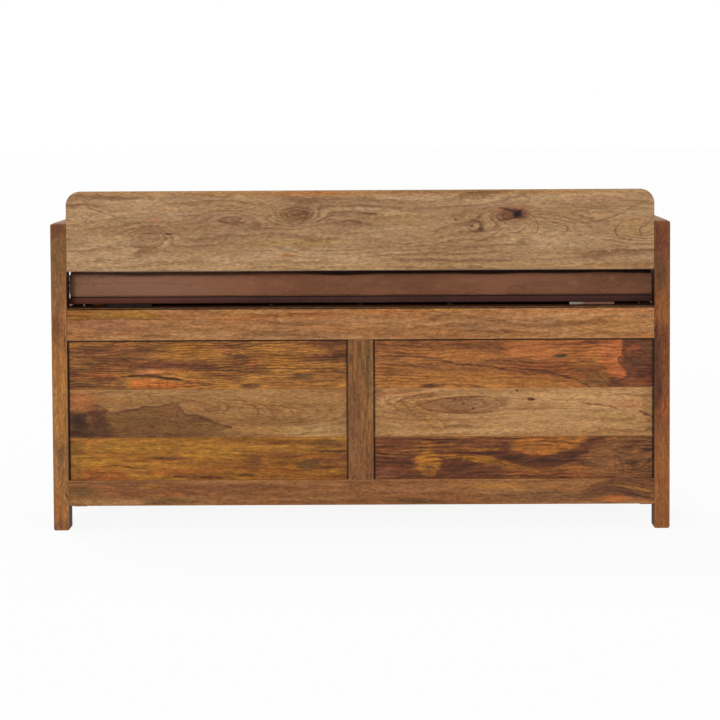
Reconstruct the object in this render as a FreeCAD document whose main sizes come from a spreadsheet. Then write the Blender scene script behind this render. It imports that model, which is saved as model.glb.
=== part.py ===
import FreeCAD, Part
import math
import os
import re
import Sketcher

# Storage bench with arms, a low backrest and a padded lid that lifts.
# Millimetres. The origin is on the floor under the middle of the bench, +Z is up,
# the front faces -Y and +X is on the right for someone who looks at the front.

LENGTHS = {
    "overall_width": 1100,
    "overall_depth": 400,
    "overall_height": 605,
    "post_width": 28,
    "post_depth": 54,
    "arm_top": 548,
    "arm_rail_height": 45,
    "foot_clearance": 44,
    "bottom_rail_height": 45.5,
    "panel_height": 250.5,
    "top_rail_height": 58,
    "rail_thickness": 22,
    "stile_width": 45,
    "panel_recess": 8,
    "plank_thickness": 10,
    "groove_depth": 8,
    "lower_plank_height": 83.5,
    "middle_plank_height": 87,
    "plank_bevel": 0.8,
    "tenon_length": 18,
    "tenon_shoulder": 7,
    "eased_edge": 1.2,
    "post_end_edge": 3.5,
    "backrest_height": 142,
    "backrest_thickness": 18,
    "backrest_corner": 25,
    "backrest_edge": 2,
    "dowel_radius": 4,
    "dowel_reach": 20,
    "dowel_spacing": 46,
    "fit_clearance": 0.1,
    "batten_depth": 48,
    "batten_height": 40,
    "notch_depth": 24,
    "notch_width": 92,
    "floor_thickness": 12,
    "cleat_side": 24,
    "hinge_length": 80,
    "hinge_offset": 414,
    "leaf_width": 22,
    "leaf_thickness": 2,
    "leaf_screw_reach": 13,
    "knuckle_radius": 2.75,
    "knuckle_gap": 0.3,
    "pin_radius": 1.5,
    "lid_lift": 4.5,
    "lid_end_gap": 1,
    "lid_back_reach": 3,
    "lid_front_setback": 5,
    "lid_board_thickness": 11.5,
    "leather_thickness": 1.5,
    "lid_edge_radius": 3,
    "under_turn": 40,
    "lining_thickness": 0.8,
    "bumper_height": 4.2,
    "bumper_radius": 6,
    "bumper_spacing": 160,
    "stay_radius": 150,
    "stay_band": 16,
    "stay_thickness": 3,
    "stay_end_gap": 11,
    "stay_foot_depth": 25,
    "stay_foot_length": 56,
    "stud_angle": 10,
    "lid_opening": 55,
    "over_travel": 1,
    "stay_tip": 5,
    "stud_radius": 3,
    "stud_head_radius": 6.5,
    "stud_gap": 0.4,
    "stud_thread": 14,
    "slot_clearance": 0.2,
    "screw_head_radius": 3.6,
    "screw_head_depth": 2,
    "screw_shank_radius": 1.75,
    "batten_screw": 60,
    "floor_screw": 34,
    "hinge_screw": 12,
    "cushion_height": 40.5,
    "cushion_end_gap": 4,
    "cushion_belly": 3,
    "cushion_crown": 8.5,
    "cushion_crown_reach": 165,
    "crown_power": 1.4,
    "cushion_corner": 16,
    "corner_spread": 12,
    "cushion_draw": 1.5,
    "foam_clearance": 0.3,
}

UP = FreeCAD.Vector(0, 0, 1)
ALONG_X = FreeCAD.Vector(1, 0, 0)
ALONG_Y = FreeCAD.Vector(0, 1, 0)
LEFT, RIGHT = -1, 1
FRONT, BACK = -1, 1
FLAT = 1e-6
SIDE_NAMES = {LEFT: "left", RIGHT: "right"}

# Heights and planes that several pieces share, written in the sheet's words.
PANEL_BOTTOM = "(foot_clearance + bottom_rail_height)"
PANEL_TOP = f"({PANEL_BOTTOM} + panel_height)"
PLANK_BOTTOM = f"({PANEL_BOTTOM} - groove_depth)"
PLANK_SPAN = "(panel_height + 2 * groove_depth)"
FRAME_TOP = f"({PANEL_TOP} + top_rail_height)"
PLANK_PLANE = "(panel_recess + plank_thickness / 2)"
INNER_END = "(overall_width / 2 - post_width)"
INNER_FACE = "(overall_depth / 2 - post_depth)"
RAIL_FACE = "(overall_depth / 2 - rail_thickness)"
LID_BOTTOM = f"({FRAME_TOP} + lid_lift)"
LID_THICKNESS = "(lid_board_thickness + 2 * leather_thickness)"
NOTCH_FACE = f"({RAIL_FACE} - notch_depth)"
HINGE_Y = f"({NOTCH_FACE} - knuckle_radius)"
HINGE_Z = f"({LID_BOTTOM} - knuckle_radius)"
LID_BACK = f"({HINGE_Y} + lid_back_reach)"
LID_FRONT = "(overall_depth / 2 - lid_front_setback)"
LID_MIDDLE = f"(({LID_BACK} - {LID_FRONT}) / 2)"
LID_WIDTH = f"(2 * ({INNER_END} - lid_end_gap))"
LID_DEPTH = f"({LID_BACK} + {LID_FRONT})"

# How far in from the seam each level of the cushion's crown lies, as a share of its reach.
CROWN_SHARES = (0.2, 0.5, 0.85)

# The height above the floor and the height of each tenon.
TENONS = {
    "bottom": ("foot_clearance + tenon_shoulder", "bottom_rail_height - tenon_shoulder - groove_depth"),
    "top": (f"{PANEL_TOP} + groove_depth", "top_rail_height - tenon_shoulder - groove_depth"),
    "arm": ("arm_top - arm_rail_height + tenon_shoulder", "arm_rail_height - 2 * tenon_shoulder"),
}

doc = FreeCAD.newDocument("storage_bench")
sheet = doc.addObject("Spreadsheet::Sheet", "Sizes")
for row, (word, value) in enumerate(LENGTHS.items(), start=1):
    sheet.set(f"A{row}", word)
    sheet.set(f"B{row}", str(value))
    sheet.setAlias(f"B{row}", word)
doc.recompute()

nodes = []


def bound(text):
    """An expression in which each of the sheet's words points at its cell."""
    words = "|".join(sorted(LENGTHS, key=len, reverse=True))
    return re.sub(rf"\b({words})\b", r"Sizes.\1", str(text))


def keep(piece, label):
    """Name a finished sub-part and list it for export."""
    piece.Label = label
    nodes.append(piece)
    return piece


def put(piece, point, turn=None):
    """Place a piece by three expressions, turned first where a rotation is given."""
    if turn is not None:
        piece.Placement = FreeCAD.Placement(FreeCAD.Vector(), turn)
    for axis, text in zip("xyz", point):
        piece.setExpression(f"Placement.Base.{axis}", bound(text))
    return piece


def slab(name, x, y, low, size):
    """A box from its middle in X and Y, its underside and its three sizes."""
    piece = doc.addObject("Part::Box", name)
    for side, text in zip(("Length", "Width", "Height"), size):
        piece.setExpression(side, bound(text))
    return put(piece, (f"{x} - ({size[0]}) / 2", f"{y} - ({size[1]}) / 2", low))


def rod(name, start, direction, radius, reach):
    """A cylinder from the middle of its first end along a direction."""
    piece = doc.addObject("Part::Cylinder", name)
    piece.setExpression("Radius", bound(radius))
    piece.setExpression("Height", bound(reach))
    return put(piece, start, FreeCAD.Rotation(UP, direction))


def joined(name, pieces):
    """Several solids fused into one."""
    piece = doc.addObject("Part::MultiFuse", name)
    piece.Shapes = pieces
    piece.Refine = True
    return piece


def grouped(name, pieces):
    """Several solids side by side in one piece."""
    piece = doc.addObject("Part::Compound", name)
    piece.Links = pieces
    return piece


def less(name, base, tools):
    """A solid with others taken away."""
    piece = doc.addObject("Part::Cut", name)
    piece.Base = base
    piece.Tool = tools[0] if len(tools) == 1 else joined(f"{name}_tools", tools)
    return piece


def straight_edges(shape, axes):
    """The numbers of the straight edges that run along one of the axes."""
    found = []
    for number, edge in enumerate(shape.Edges, start=1):
        way = edge.Vertexes[1].Point - edge.Vertexes[0].Point
        if any(way.cross(axis).Length < FLAT for axis in axes):
            found.append(number)
    return found


def eased(base, word="eased_edge", axes=(ALONG_X, ALONG_Y, UP), kind="Part::Fillet"):
    """A box with its edges along the axes rounded or bevelled."""
    doc.recompute()
    piece = doc.addObject(kind, f"{base.Name}_eased")
    piece.Base = base
    amount = float(getattr(sheet, word))
    piece.Edges = [(number, amount, amount) for number in straight_edges(base.Shape, axes)]
    return piece


def rounded_ends(blank):
    """A post whose ends are rounded towards its narrow sides, and whose other edges are eased."""
    rounded = eased(blank, "post_end_edge", (ALONG_Y,))
    doc.recompute()
    piece = doc.addObject("Part::Fillet", f"{blank.Name}_rims")
    piece.Base = rounded
    amount = float(sheet.eased_edge)
    piece.Edges = [(number, amount, amount) for number, edge in enumerate(rounded.Shape.Edges, start=1)
                   if edge.BoundBox.YLength < FLAT]
    return piece


def screw(name, start, direction, reach, grow="0"):
    """A countersunk screw from the middle of its head, or its hole where grow is set."""
    cone = doc.addObject("Part::Cone", f"{name}_cone")
    cone.setExpression("Radius1", bound(f"screw_head_radius + {grow}"))
    cone.setExpression("Radius2", bound(f"screw_shank_radius + {grow}"))
    cone.setExpression("Height", bound("screw_head_depth"))
    put(cone, start, FreeCAD.Rotation(UP, direction))
    shank = rod(f"{name}_shank", start, direction, f"screw_shank_radius + {grow}", f"{reach} + {grow}")
    return joined(name, [cone, shank])


def screws(name, places, direction, reach):
    """A list of screws at places, and the list of their holes."""
    made = [screw(f"{name}_{i}", p, direction, reach) for i, p in enumerate(places)]
    holes = [screw(f"{name}_hole_{i}", p, direction, reach, "fit_clearance") for i, p in enumerate(places)]
    return made, holes


class Frame:
    """One of the four upright frames of the box: its long way and its outer face."""

    def __init__(self, name, sign, turned):
        self.name = name
        self.sign = sign
        self.turned = turned
        self.half = INNER_FACE if turned else INNER_END
        self.outer = "overall_width / 2" if turned else "overall_depth / 2"
        self.thickness = "post_width" if turned else "rail_thickness"
        self.tenons = ("bottom", "top", "arm") if turned else ("bottom", "top")
        self.long_axis = ALONG_Y if turned else ALONG_X

    def slab(self, name, along, inward, low, size):
        """A box from its place along the frame and the depth of its middle from the outer face."""
        across = f"{self.sign} * ({self.outer} - ({inward}))"
        if self.turned:
            return slab(name, across, along, low, (size[1], size[0], size[2]))
        return slab(name, along, across, low, size)

    def end_cuts(self, post_name, end):
        """What a post loses for this frame: one groove and a mortise for each tenon."""
        name = f"{post_name}_{self.name}"
        size = ("groove_depth", "plank_thickness", PLANK_SPAN)
        cuts = [self.slab(f"{name}_groove", f"{end} * ({self.half} + groove_depth / 2)", PLANK_PLANE,
                          PLANK_BOTTOM, size)]
        for tenon in self.tenons:
            low, height = TENONS[tenon]
            cuts.append(self.slab(f"{name}_{tenon}_mortise", f"{end} * ({self.half} + tenon_length / 2)",
                                  PLANK_PLANE, low, ("tenon_length", "plank_thickness", height)))
        return cuts

    def rail(self, label, tenon, low, height, groove_low=None):
        """A rail with a tenon at each end, and a groove for the planks where its level is given."""
        blank = self.slab(f"{label}_blank", "0", f"{self.thickness} / 2", low,
                          (f"2 * {self.half}", self.thickness, height))
        tenon_low, tenon_height = TENONS[tenon]
        parts = [eased(blank, axes=(self.long_axis,))]
        for end in (-1, 1):
            parts.append(self.slab(f"{label}_tenon", f"{end} * ({self.half} + tenon_length / 2)", PLANK_PLANE,
                                   tenon_low, ("tenon_length", "plank_thickness", tenon_height)))
        whole = joined(f"{label}_whole", parts)
        if groove_low is None:
            return whole
        groove = self.slab(f"{label}_groove", "0", PLANK_PLANE, groove_low,
                           (f"2 * {self.half}", "plank_thickness", "groove_depth"))
        return less(f"{label}_cut", whole, [groove])

    def rails(self):
        """The top and bottom rails."""
        bottom = self.rail(f"{self.name}_bottom_rail", "bottom", "foot_clearance", "bottom_rail_height",
                           PLANK_BOTTOM)
        top = self.rail(f"{self.name}_top_rail", "top", PANEL_TOP, "top_rail_height", PANEL_TOP)
        return bottom, top

    def planks(self, label, along, span):
        """Three planks, one above the other, with bevelled edges at their seams."""
        low = PLANK_BOTTOM
        heights = {
            "lower": "lower_plank_height",
            "middle": "middle_plank_height",
            "upper": f"({PLANK_SPAN} - lower_plank_height - middle_plank_height)",
        }
        for level, height in heights.items():
            name = f"{label}_{level}_plank"
            board = self.slab(f"{name}_blank", along, PLANK_PLANE, low, (span, "plank_thickness", height))
            keep(eased(board, "plank_bevel", (self.long_axis,), "Part::Chamfer"), name)
            low = f"({low} + {height})"

    def stile(self):
        """The upright between the two bays, with a stub tenon in each rail and a groove each side."""
        label = f"{self.name}_stile"
        blank = self.slab(f"{label}_blank", "0", f"{self.thickness} / 2", PANEL_BOTTOM,
                          ("stile_width", self.thickness, "panel_height"))
        stub = self.slab(f"{label}_stub", "0", PLANK_PLANE, PLANK_BOTTOM,
                         ("stile_width", "plank_thickness", PLANK_SPAN))
        whole = joined(f"{label}_whole", [eased(blank, axes=(UP,)), stub])
        grooves = []
        for side in (LEFT, RIGHT):
            grooves.append(self.slab(f"{label}_groove", f"{side} * (stile_width - groove_depth) / 2",
                                     PLANK_PLANE, PLANK_BOTTOM,
                                     ("groove_depth", "plank_thickness", PLANK_SPAN)))
        keep(less(f"{label}_cut", whole, grooves), label)


FACES = {BACK: Frame("back", BACK, False), FRONT: Frame("front", FRONT, False)}
SIDES = {LEFT: Frame("left", LEFT, True), RIGHT: Frame("right", RIGHT, True)}


def dowel_places(side):
    """Where the dowels of one end of the backrest start, inside the board."""
    middle = "(overall_height - backrest_height + arm_top) / 2"
    x = f"{side} * ({INNER_END} - dowel_reach)"
    y = "overall_depth / 2 - backrest_thickness / 2"
    return [(x, y, f"{middle} + {row} * dowel_spacing / 2") for row in (-1, 1)]


def dowels(name, radius):
    """The four dowels of the backrest, or their holes where the radius is larger."""
    made = []
    for side in (LEFT, RIGHT):
        for place in dowel_places(side):
            made.append(rod(name, place, ALONG_X * side, radius, "2 * dowel_reach"))
    return made


def posts():
    """Four posts, each cut for the frames that meet in it."""
    for face, face_frame in FACES.items():
        for side, side_frame in SIDES.items():
            label = f"{face_frame.name}_{side_frame.name}_post"
            blank = slab(f"{label}_blank", f"{side} * (overall_width - post_width) / 2",
                         f"{face} * (overall_depth - post_depth) / 2", "0",
                         ("post_width", "post_depth", "arm_top"))
            cuts = face_frame.end_cuts(label, side) + side_frame.end_cuts(label, face)
            if face == BACK:
                cuts += dowels(f"{label}_dowel_hole", "dowel_radius + fit_clearance")
            keep(less(f"{label}_cut", rounded_ends(blank), cuts), label)


def face_frames(batten_holes, cleat_holes):
    """The front and back of the box: two rails, a stile and six planks each."""
    for face, frame in FACES.items():
        bottom, top = frame.rails()
        keep(less(f"{frame.name}_bottom_holes", bottom, cleat_holes[face]), f"{frame.name}_bottom_rail")
        if face == BACK:
            top = less("back_top_holes", top, batten_holes)
        keep(top, f"{frame.name}_top_rail")
        frame.stile()
        for side, side_name in SIDE_NAMES.items():
            frame.planks(f"{frame.name}_{side_name}", f"{side} * ({INNER_END} + stile_width / 2) / 2",
                         f"{INNER_END} - stile_width / 2 + 2 * groove_depth")


def side_frames(stud_holes):
    """The two ends of the box and the arms over them."""
    for side, frame in SIDES.items():
        bottom, top = frame.rails()
        keep(bottom, f"{frame.name}_bottom_rail")
        keep(less(f"{frame.name}_top_holes", top, [stud_holes[side]]), f"{frame.name}_top_rail")
        arm = frame.rail(f"{frame.name}_arm", "arm", "arm_top - arm_rail_height", "arm_rail_height")
        keep(arm, f"{frame.name}_arm_rail")
        frame.planks(frame.name, "0", f"2 * ({frame.half} + groove_depth)")


def backrest():
    """The board between the back posts, with round upper corners and eased edges."""
    body = doc.addObject("PartDesign::Body", "backrest_body")
    sketch = body.newObject("Sketcher::SketchObject", "backrest_outline")
    plane = [item for item in body.Origin.OriginFeatures if item.Role == "XZ_Plane"][0]
    sketch.AttachmentSupport = (plane, "")
    sketch.MapMode = "FlatFace"
    half = sheet.overall_width / 2 - sheet.post_width
    low = sheet.overall_height - sheet.backrest_height
    high = sheet.overall_height
    corner = sheet.backrest_corner
    outline = [
        ((-half, low), (half, low)),
        ((half, low), (half, high - corner)),
        ((half - corner, high), (corner - half, high)),
        ((-half, high - corner), (-half, low)),
    ]
    for start, end in outline:
        sketch.addGeometry(Part.LineSegment(FreeCAD.Vector(*start, 0), FreeCAD.Vector(*end, 0)))
    for side, first, last in ((RIGHT, 0, math.pi / 2), (LEFT, math.pi / 2, math.pi)):
        centre = FreeCAD.Vector(side * (half - corner), high - corner, 0)
        sketch.addGeometry(Part.ArcOfCircle(Part.Circle(centre, UP, corner), first, last))
    for line, kind in ((1, "Vertical"), (2, "Horizontal"), (3, "Vertical")):
        sketch.addConstraint(Sketcher.Constraint(kind, line))
    for first, second in (((0, 2), (1, 1)), ((3, 2), (0, 1))):
        sketch.addConstraint(Sketcher.Constraint("Coincident", *first, *second))
    for first, second in (((1, 2), (4, 1)), ((4, 2), (2, 1)), ((2, 2), (5, 1)), ((5, 2), (3, 1))):
        sketch.addConstraint(Sketcher.Constraint("Tangent", *first, *second))
    sketch.addConstraint(Sketcher.Constraint("Equal", 4, 5))
    sketch.addConstraint(Sketcher.Constraint("Symmetric", 0, 1, 0, 2, -2))
    sizes = {
        "Radius": (("Radius", 4, corner), "backrest_corner"),
        "Width": (("DistanceX", 0, 1, 0, 2, 2 * half), f"2 * {INNER_END}"),
        "Low": (("DistanceY", -1, 1, 0, 1, low), "overall_height - backrest_height"),
        "Top": (("DistanceY", -1, 1, 2, 1, high), "overall_height"),
    }
    for name, (constraint, text) in sizes.items():
        number = sketch.addConstraint(Sketcher.Constraint(*constraint))
        sketch.renameConstraint(number, name)
        sketch.setExpression(f"Constraints.{name}", bound(text))
    pad = body.newObject("PartDesign::Pad", "backrest_pad")
    pad.Profile = sketch
    pad.setExpression("Length", bound("backrest_thickness"))
    doc.recompute()
    rounding = body.newObject("PartDesign::Fillet", "backrest_rounding")
    flat = [f"Face{i}" for i, face in enumerate(pad.Shape.Faces, start=1)
            if abs(face.normalAt(0, 0).y) > 0.99]
    rounding.Base = (pad, flat)
    rounding.setExpression("Radius", bound("backrest_edge"))
    put(body, ("0", "overall_depth / 2", "0"))
    holes = dowels("backrest_dowel_hole", "dowel_radius + fit_clearance")
    keep(less("backrest_cut", body, holes), "backrest_board")
    keep(grouped("backrest_pegs", dowels("backrest_dowel", "dowel_radius")), "backrest_dowels")


def batten(holes):
    """The batten behind the lid, notched for the two hinges."""
    block = slab("batten_blank", "0", f"{RAIL_FACE} - batten_depth / 2", f"{FRAME_TOP} - batten_height",
                 (f"2 * ({INNER_END} - lid_end_gap)", "batten_depth", "batten_height"))
    cuts = list(holes)
    for side in (LEFT, RIGHT):
        front = "(batten_depth - notch_depth)"
        cuts.append(slab("batten_notch", f"{side} * hinge_offset", f"{NOTCH_FACE} - {front} / 2",
                         f"{FRAME_TOP} - batten_height", ("notch_width", front, "batten_height")))
    keep(less("batten_cut", eased(block, axes=(ALONG_X,)), cuts), "hinge_batten")


def storage_floor(floor_holes, cleat_holes):
    """The plywood floor of the box on its two cleats."""
    panel = slab("floor_blank", "0", "0", f"{PANEL_BOTTOM} - floor_thickness",
                 (f"2 * ({INNER_END} - lid_end_gap)", f"2 * {RAIL_FACE} - lid_end_gap", "floor_thickness"))
    all_floor_holes = floor_holes[FRONT] + floor_holes[BACK]
    keep(less("floor_cut", panel, all_floor_holes), "storage_floor")
    for face, frame in FACES.items():
        cleat = slab(f"{frame.name}_cleat_blank", "0", f"{face} * ({RAIL_FACE} - cleat_side / 2)",
                     f"{PANEL_BOTTOM} - floor_thickness - cleat_side",
                     (f"2 * ({INNER_END} - lid_end_gap)", "cleat_side", "cleat_side"))
        keep(less(f"{frame.name}_cleat_cut", cleat, floor_holes[face] + cleat_holes[face]),
             f"{frame.name}_floor_cleat")


def knuckles(name, side, numbers):
    """The knuckles of one leaf, counted from the hinge's left end."""
    made = []
    for number in numbers:
        start = f"{side} * hinge_offset + ({number} - 2.5) * hinge_length / 5 + knuckle_gap / 2"
        made.append(rod(f"{name}_knuckle", (start, HINGE_Y, HINGE_Z), ALONG_X, "knuckle_radius",
                        "hinge_length / 5 - knuckle_gap"))
    return made


def knuckle_notches(name, side, numbers):
    """Room in a leaf for the other leaf's knuckles."""
    room = "2 * (knuckle_radius + knuckle_gap)"
    return [slab(f"{name}_notch", f"{side} * hinge_offset + ({number} - 2) * hinge_length / 5", HINGE_Y,
                 f"{HINGE_Z} - knuckle_radius - knuckle_gap", ("hinge_length / 5 + knuckle_gap", room, room))
            for number in numbers]


def hinges(frame_holes, lid_holes):
    """Two butt hinges: a leaf on the batten, a leaf under the lid and a pin."""
    pins = []
    for side, side_name in SIDE_NAMES.items():
        bore = rod("pin_bore", (f"{side} * hinge_offset - hinge_length / 2", HINGE_Y, HINGE_Z), ALONG_X,
                   "pin_radius + fit_clearance", "hinge_length")
        frame_leaf = slab("frame_leaf", f"{side} * hinge_offset", f"{NOTCH_FACE} - leaf_thickness / 2",
                          f"{HINGE_Z} - leaf_width", ("hinge_length", "leaf_thickness", "leaf_width"))
        lid_leaf = slab("lid_leaf", f"{side} * hinge_offset", f"{HINGE_Y} - leaf_width / 2",
                        f"{LID_BOTTOM} - leaf_thickness", ("hinge_length", "leaf_width", "leaf_thickness"))
        odd, even = (0, 2, 4), (1, 3)
        fixed = less("frame_leaf_cut", frame_leaf, knuckle_notches("frame_leaf", side, even))
        fixed = joined("frame_leaf_whole", [fixed] + knuckles("frame_leaf", side, odd))
        keep(less("frame_leaf_bored", fixed, [bore] + frame_holes[side]), f"{side_name}_hinge_frame_leaf")
        moving = less("lid_leaf_cut", lid_leaf, knuckle_notches("lid_leaf", side, odd))
        moving = joined("lid_leaf_whole", [moving] + knuckles("lid_leaf", side, even))
        keep(less("lid_leaf_bored", moving, [bore] + lid_holes[side]), f"{side_name}_hinge_lid_leaf")
        pins.append(rod("hinge_pin", (f"{side} * hinge_offset - hinge_length / 2", HINGE_Y, HINGE_Z), ALONG_X,
                        "pin_radius", "hinge_length"))
    keep(grouped("pins", pins), "hinge_pins")


def lid(holes):
    """The lid: a board in a leather wrap that is turned under, and a lining below."""
    board = slab("lid_board_blank", "0", LID_MIDDLE, f"{LID_BOTTOM} + leather_thickness",
                 (f"{LID_WIDTH} - 2 * leather_thickness", f"{LID_DEPTH} - 2 * leather_thickness",
                  "lid_board_thickness"))
    board = eased(board, "leather_thickness")
    wrap = eased(slab("lid_wrap_blank", "0", LID_MIDDLE, LID_BOTTOM, (LID_WIDTH, LID_DEPTH, LID_THICKNESS)),
                 "lid_edge_radius")
    opening = (f"{LID_WIDTH} - 2 * under_turn", f"{LID_DEPTH} - 2 * under_turn")
    window = slab("lid_window", "0", LID_MIDDLE, LID_BOTTOM, (*opening, "leather_thickness"))
    keep(less("lid_board_cut", board, holes), "lid_board")
    keep(less("lid_wrap_cut", wrap, [board, window] + holes), "lid_leather_wrap")
    keep(slab("lining", "0", LID_MIDDLE, f"{LID_BOTTOM} + leather_thickness - lining_thickness",
              (*opening, "lining_thickness")), "lid_lining")


def sector(name, x, radius, first, span):
    """A pie-shaped plate about the hinge axis, from an angle below the forward direction."""
    piece = doc.addObject("Part::Cylinder", name)
    piece.setExpression("Radius", bound(radius))
    piece.setExpression("Height", bound("stay_thickness"))
    piece.setExpression("Angle", bound(span))
    forward = FreeCAD.Rotation(-ALONG_Y, -UP, ALONG_X, "XYZ")
    return put(piece, (x, HINGE_Y, HINGE_Z), FreeCAD.Rotation(ALONG_X, first) * forward)


def ring(name, x, half_width, first, span):
    """A curved bar about the hinge axis, as wide as twice its half width."""
    disc = sector(f"{name}_disc", x, f"stay_radius + {half_width}", first, span)
    hollow = sector(f"{name}_hollow", x, f"stay_radius - {half_width}", first, span)
    return less(name, disc, [hollow])


def on_stay(x, angle):
    """A point on the stay's middle line, at an angle below the forward direction."""
    return (x, f"{HINGE_Y} - stay_radius * cos(({angle}) * 1 deg)",
            f"{HINGE_Z} - stay_radius * sin(({angle}) * 1 deg)")


def stay(side, holes):
    """A slotted quadrant plate with a foot that is screwed under the lid."""
    label = f"{SIDE_NAMES[side]}_lid_stay"
    outer = f"({INNER_END} - stay_end_gap)"
    x = f"{side} * ({outer} - stay_thickness / 2) - stay_thickness / 2"
    plate = ring(f"{label}_plate", x, "stay_band / 2", 0, "stud_angle + lid_opening + stay_tip")
    foot = slab(f"{label}_foot", f"{side} * ({outer} - stay_foot_depth / 2)", f"{HINGE_Y} - stay_radius",
                f"{LID_BOTTOM} - stay_thickness", ("stay_foot_depth", "stay_foot_length", "stay_thickness"))
    slot_half = "(stud_radius + slot_clearance)"
    slot = ring(f"{label}_slot", x, slot_half, sheet.stud_angle - sheet.over_travel,
                "lid_opening + 2 * over_travel")
    ends = [rod(f"{label}_slot_end", on_stay(x, angle), ALONG_X, slot_half, "stay_thickness")
            for angle in ("stud_angle - over_travel", "stud_angle + lid_opening + over_travel")]
    keep(less(f"{label}_cut", joined(f"{label}_whole", [plate, foot]), [slot] + ends + holes), label)


def stud(side):
    """The turned stud that guides a stay: shank, spacer and head in one."""
    away = ALONG_X * side
    shank_reach = "stud_thread + stay_end_gap + stay_thickness + stud_gap"
    shank = rod("stud_shank", on_stay(f"{side} * ({INNER_END} + stud_thread)", "stud_angle"), -away,
                "stud_radius", shank_reach)
    spacer = rod("stud_spacer", on_stay(f"{side} * {INNER_END}", "stud_angle"), -away, "stud_head_radius",
                 "stay_end_gap - stud_gap")
    head_start = f"{side} * ({INNER_END} - stay_end_gap - stay_thickness - stud_gap)"
    head = rod("stud_head", on_stay(head_start, "stud_angle"), -away, "stud_head_radius", "stay_thickness")
    return joined("stud", [shank, spacer, head])


def stud_hole(side):
    """The hole of a stud in the side rail."""
    return rod("stud_hole", on_stay(f"{side} * {INNER_END}", "stud_angle"), ALONG_X * side,
               "stud_radius + fit_clearance", "stud_thread")


def bumpers():
    """Rubber buttons that the closed lid comes down to, on the front rail and on the batten."""
    places = [(f"{step} * bumper_spacing", f"-({RAIL_FACE} + rail_thickness / 2)") for step in (-3, -1, 1, 3)]
    places += [(f"{step} * bumper_spacing", f"{RAIL_FACE} - batten_depth + notch_depth / 2")
               for step in (-1, 0, 1)]
    made = []
    for x, y in places:
        button = doc.addObject("Part::Cone", "bumper")
        button.setExpression("Radius1", bound("bumper_radius"))
        button.setExpression("Radius2", bound("bumper_radius - 1"))
        button.setExpression("Height", bound("bumper_height"))
        made.append(put(button, (x, y, FRAME_TOP)))
    keep(grouped("bumper_set", made), "lid_bumpers")


class Pad:
    """The seat pad: boxing with a belly, drawn-in sides and a crowned top, on a given rectangle."""

    def __init__(self, base):
        self.half_x = sheet.overall_width / 2 - sheet.post_width - sheet.cushion_end_gap
        self.half_y = base.YLength / 2
        self.middle = (base.YMin + base.YMax) / 2
        self.low = base.ZMax

    def level(self, inset, z):
        """One closed outline: four shallow arcs that draw the sides in, and four corner arcs."""
        a = self.half_x - inset
        b = self.half_y - inset
        radius = sheet.cushion_corner + inset / sheet.corner_spread
        draw = sheet.cushion_draw
        bend = radius * (1 - math.cos(math.pi / 4))
        quarter = [
            (a - radius, b), (a - bend, b - bend), (a, b - radius), (a - draw, 0),
            (a, radius - b), (a - bend, bend - b), (a - radius, -b), (0, draw - b),
        ]
        turned = [(-x, -y) for x, y in quarter]
        points = [FreeCAD.Vector(x, y + self.middle, z) for x, y in quarter + turned]
        points.append(points[0])
        edges = [Part.Arc(*points[i:i + 3]).toShape() for i in range(0, len(points) - 1, 2)]
        return Part.Wire(edges)

    def form(self, cut):
        """The pad's solid, with a cut taken off all round and above, and none below."""
        seam = self.low + sheet.cushion_height - cut
        belly = (self.low + seam) / 2
        reach = sheet.cushion_crown_reach
        sides = [self.level(sheet.cushion_belly + cut, self.low), self.level(cut, belly),
                 self.level(sheet.cushion_belly + cut, seam)]
        crown = [sides[-1]]
        for share in CROWN_SHARES:
            rise = sheet.cushion_crown * math.sin(share * math.pi / 2) ** sheet.crown_power
            crown.append(self.level(sheet.cushion_belly + cut + share * reach, seam + rise))
        return Part.makeLoft(sides, True, False).fuse(Part.makeLoft(crown, True, False))


def cushion():
    """The sewn cover, open below, and the foam that fills it."""
    doc.recompute()
    wrap = [piece for piece in nodes if piece.Label == "lid_leather_wrap"][0]
    pad = Pad(wrap.Shape.BoundBox)
    cover = doc.addObject("Part::Feature", "cushion_cover_form")
    cover.Shape = pad.form(0).cut(pad.form(sheet.leather_thickness))
    keep(cover, "cushion_cover")
    foam = doc.addObject("Part::Feature", "cushion_foam_form")
    foam.Shape = pad.form(sheet.leather_thickness + sheet.foam_clearance)
    keep(foam, "cushion_foam")


def hinge_screw_places(side):
    """Where one hinge's screws start: on the batten's leaf and on the lid's leaf."""
    on_batten = []
    on_lid = []
    for step in (-1, 0, 1):
        x = f"{side} * hinge_offset + {step} * hinge_length / 3"
        on_batten.append((x, f"{NOTCH_FACE} - leaf_thickness", f"{HINGE_Z} - leaf_screw_reach"))
        on_lid.append((x, f"{HINGE_Y} - leaf_screw_reach", f"{LID_BOTTOM} - leaf_thickness"))
    return on_batten, on_lid


def stay_screw_places(side):
    """Where the two screws of one stay's foot start."""
    x = f"{side} * ({INNER_END} - stay_end_gap - stay_foot_depth / 2)"
    return [(x, f"{HINGE_Y} - stay_radius + {step} * stay_foot_length / 3", f"{LID_BOTTOM} - stay_thickness")
            for step in (-1, 1)]


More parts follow.
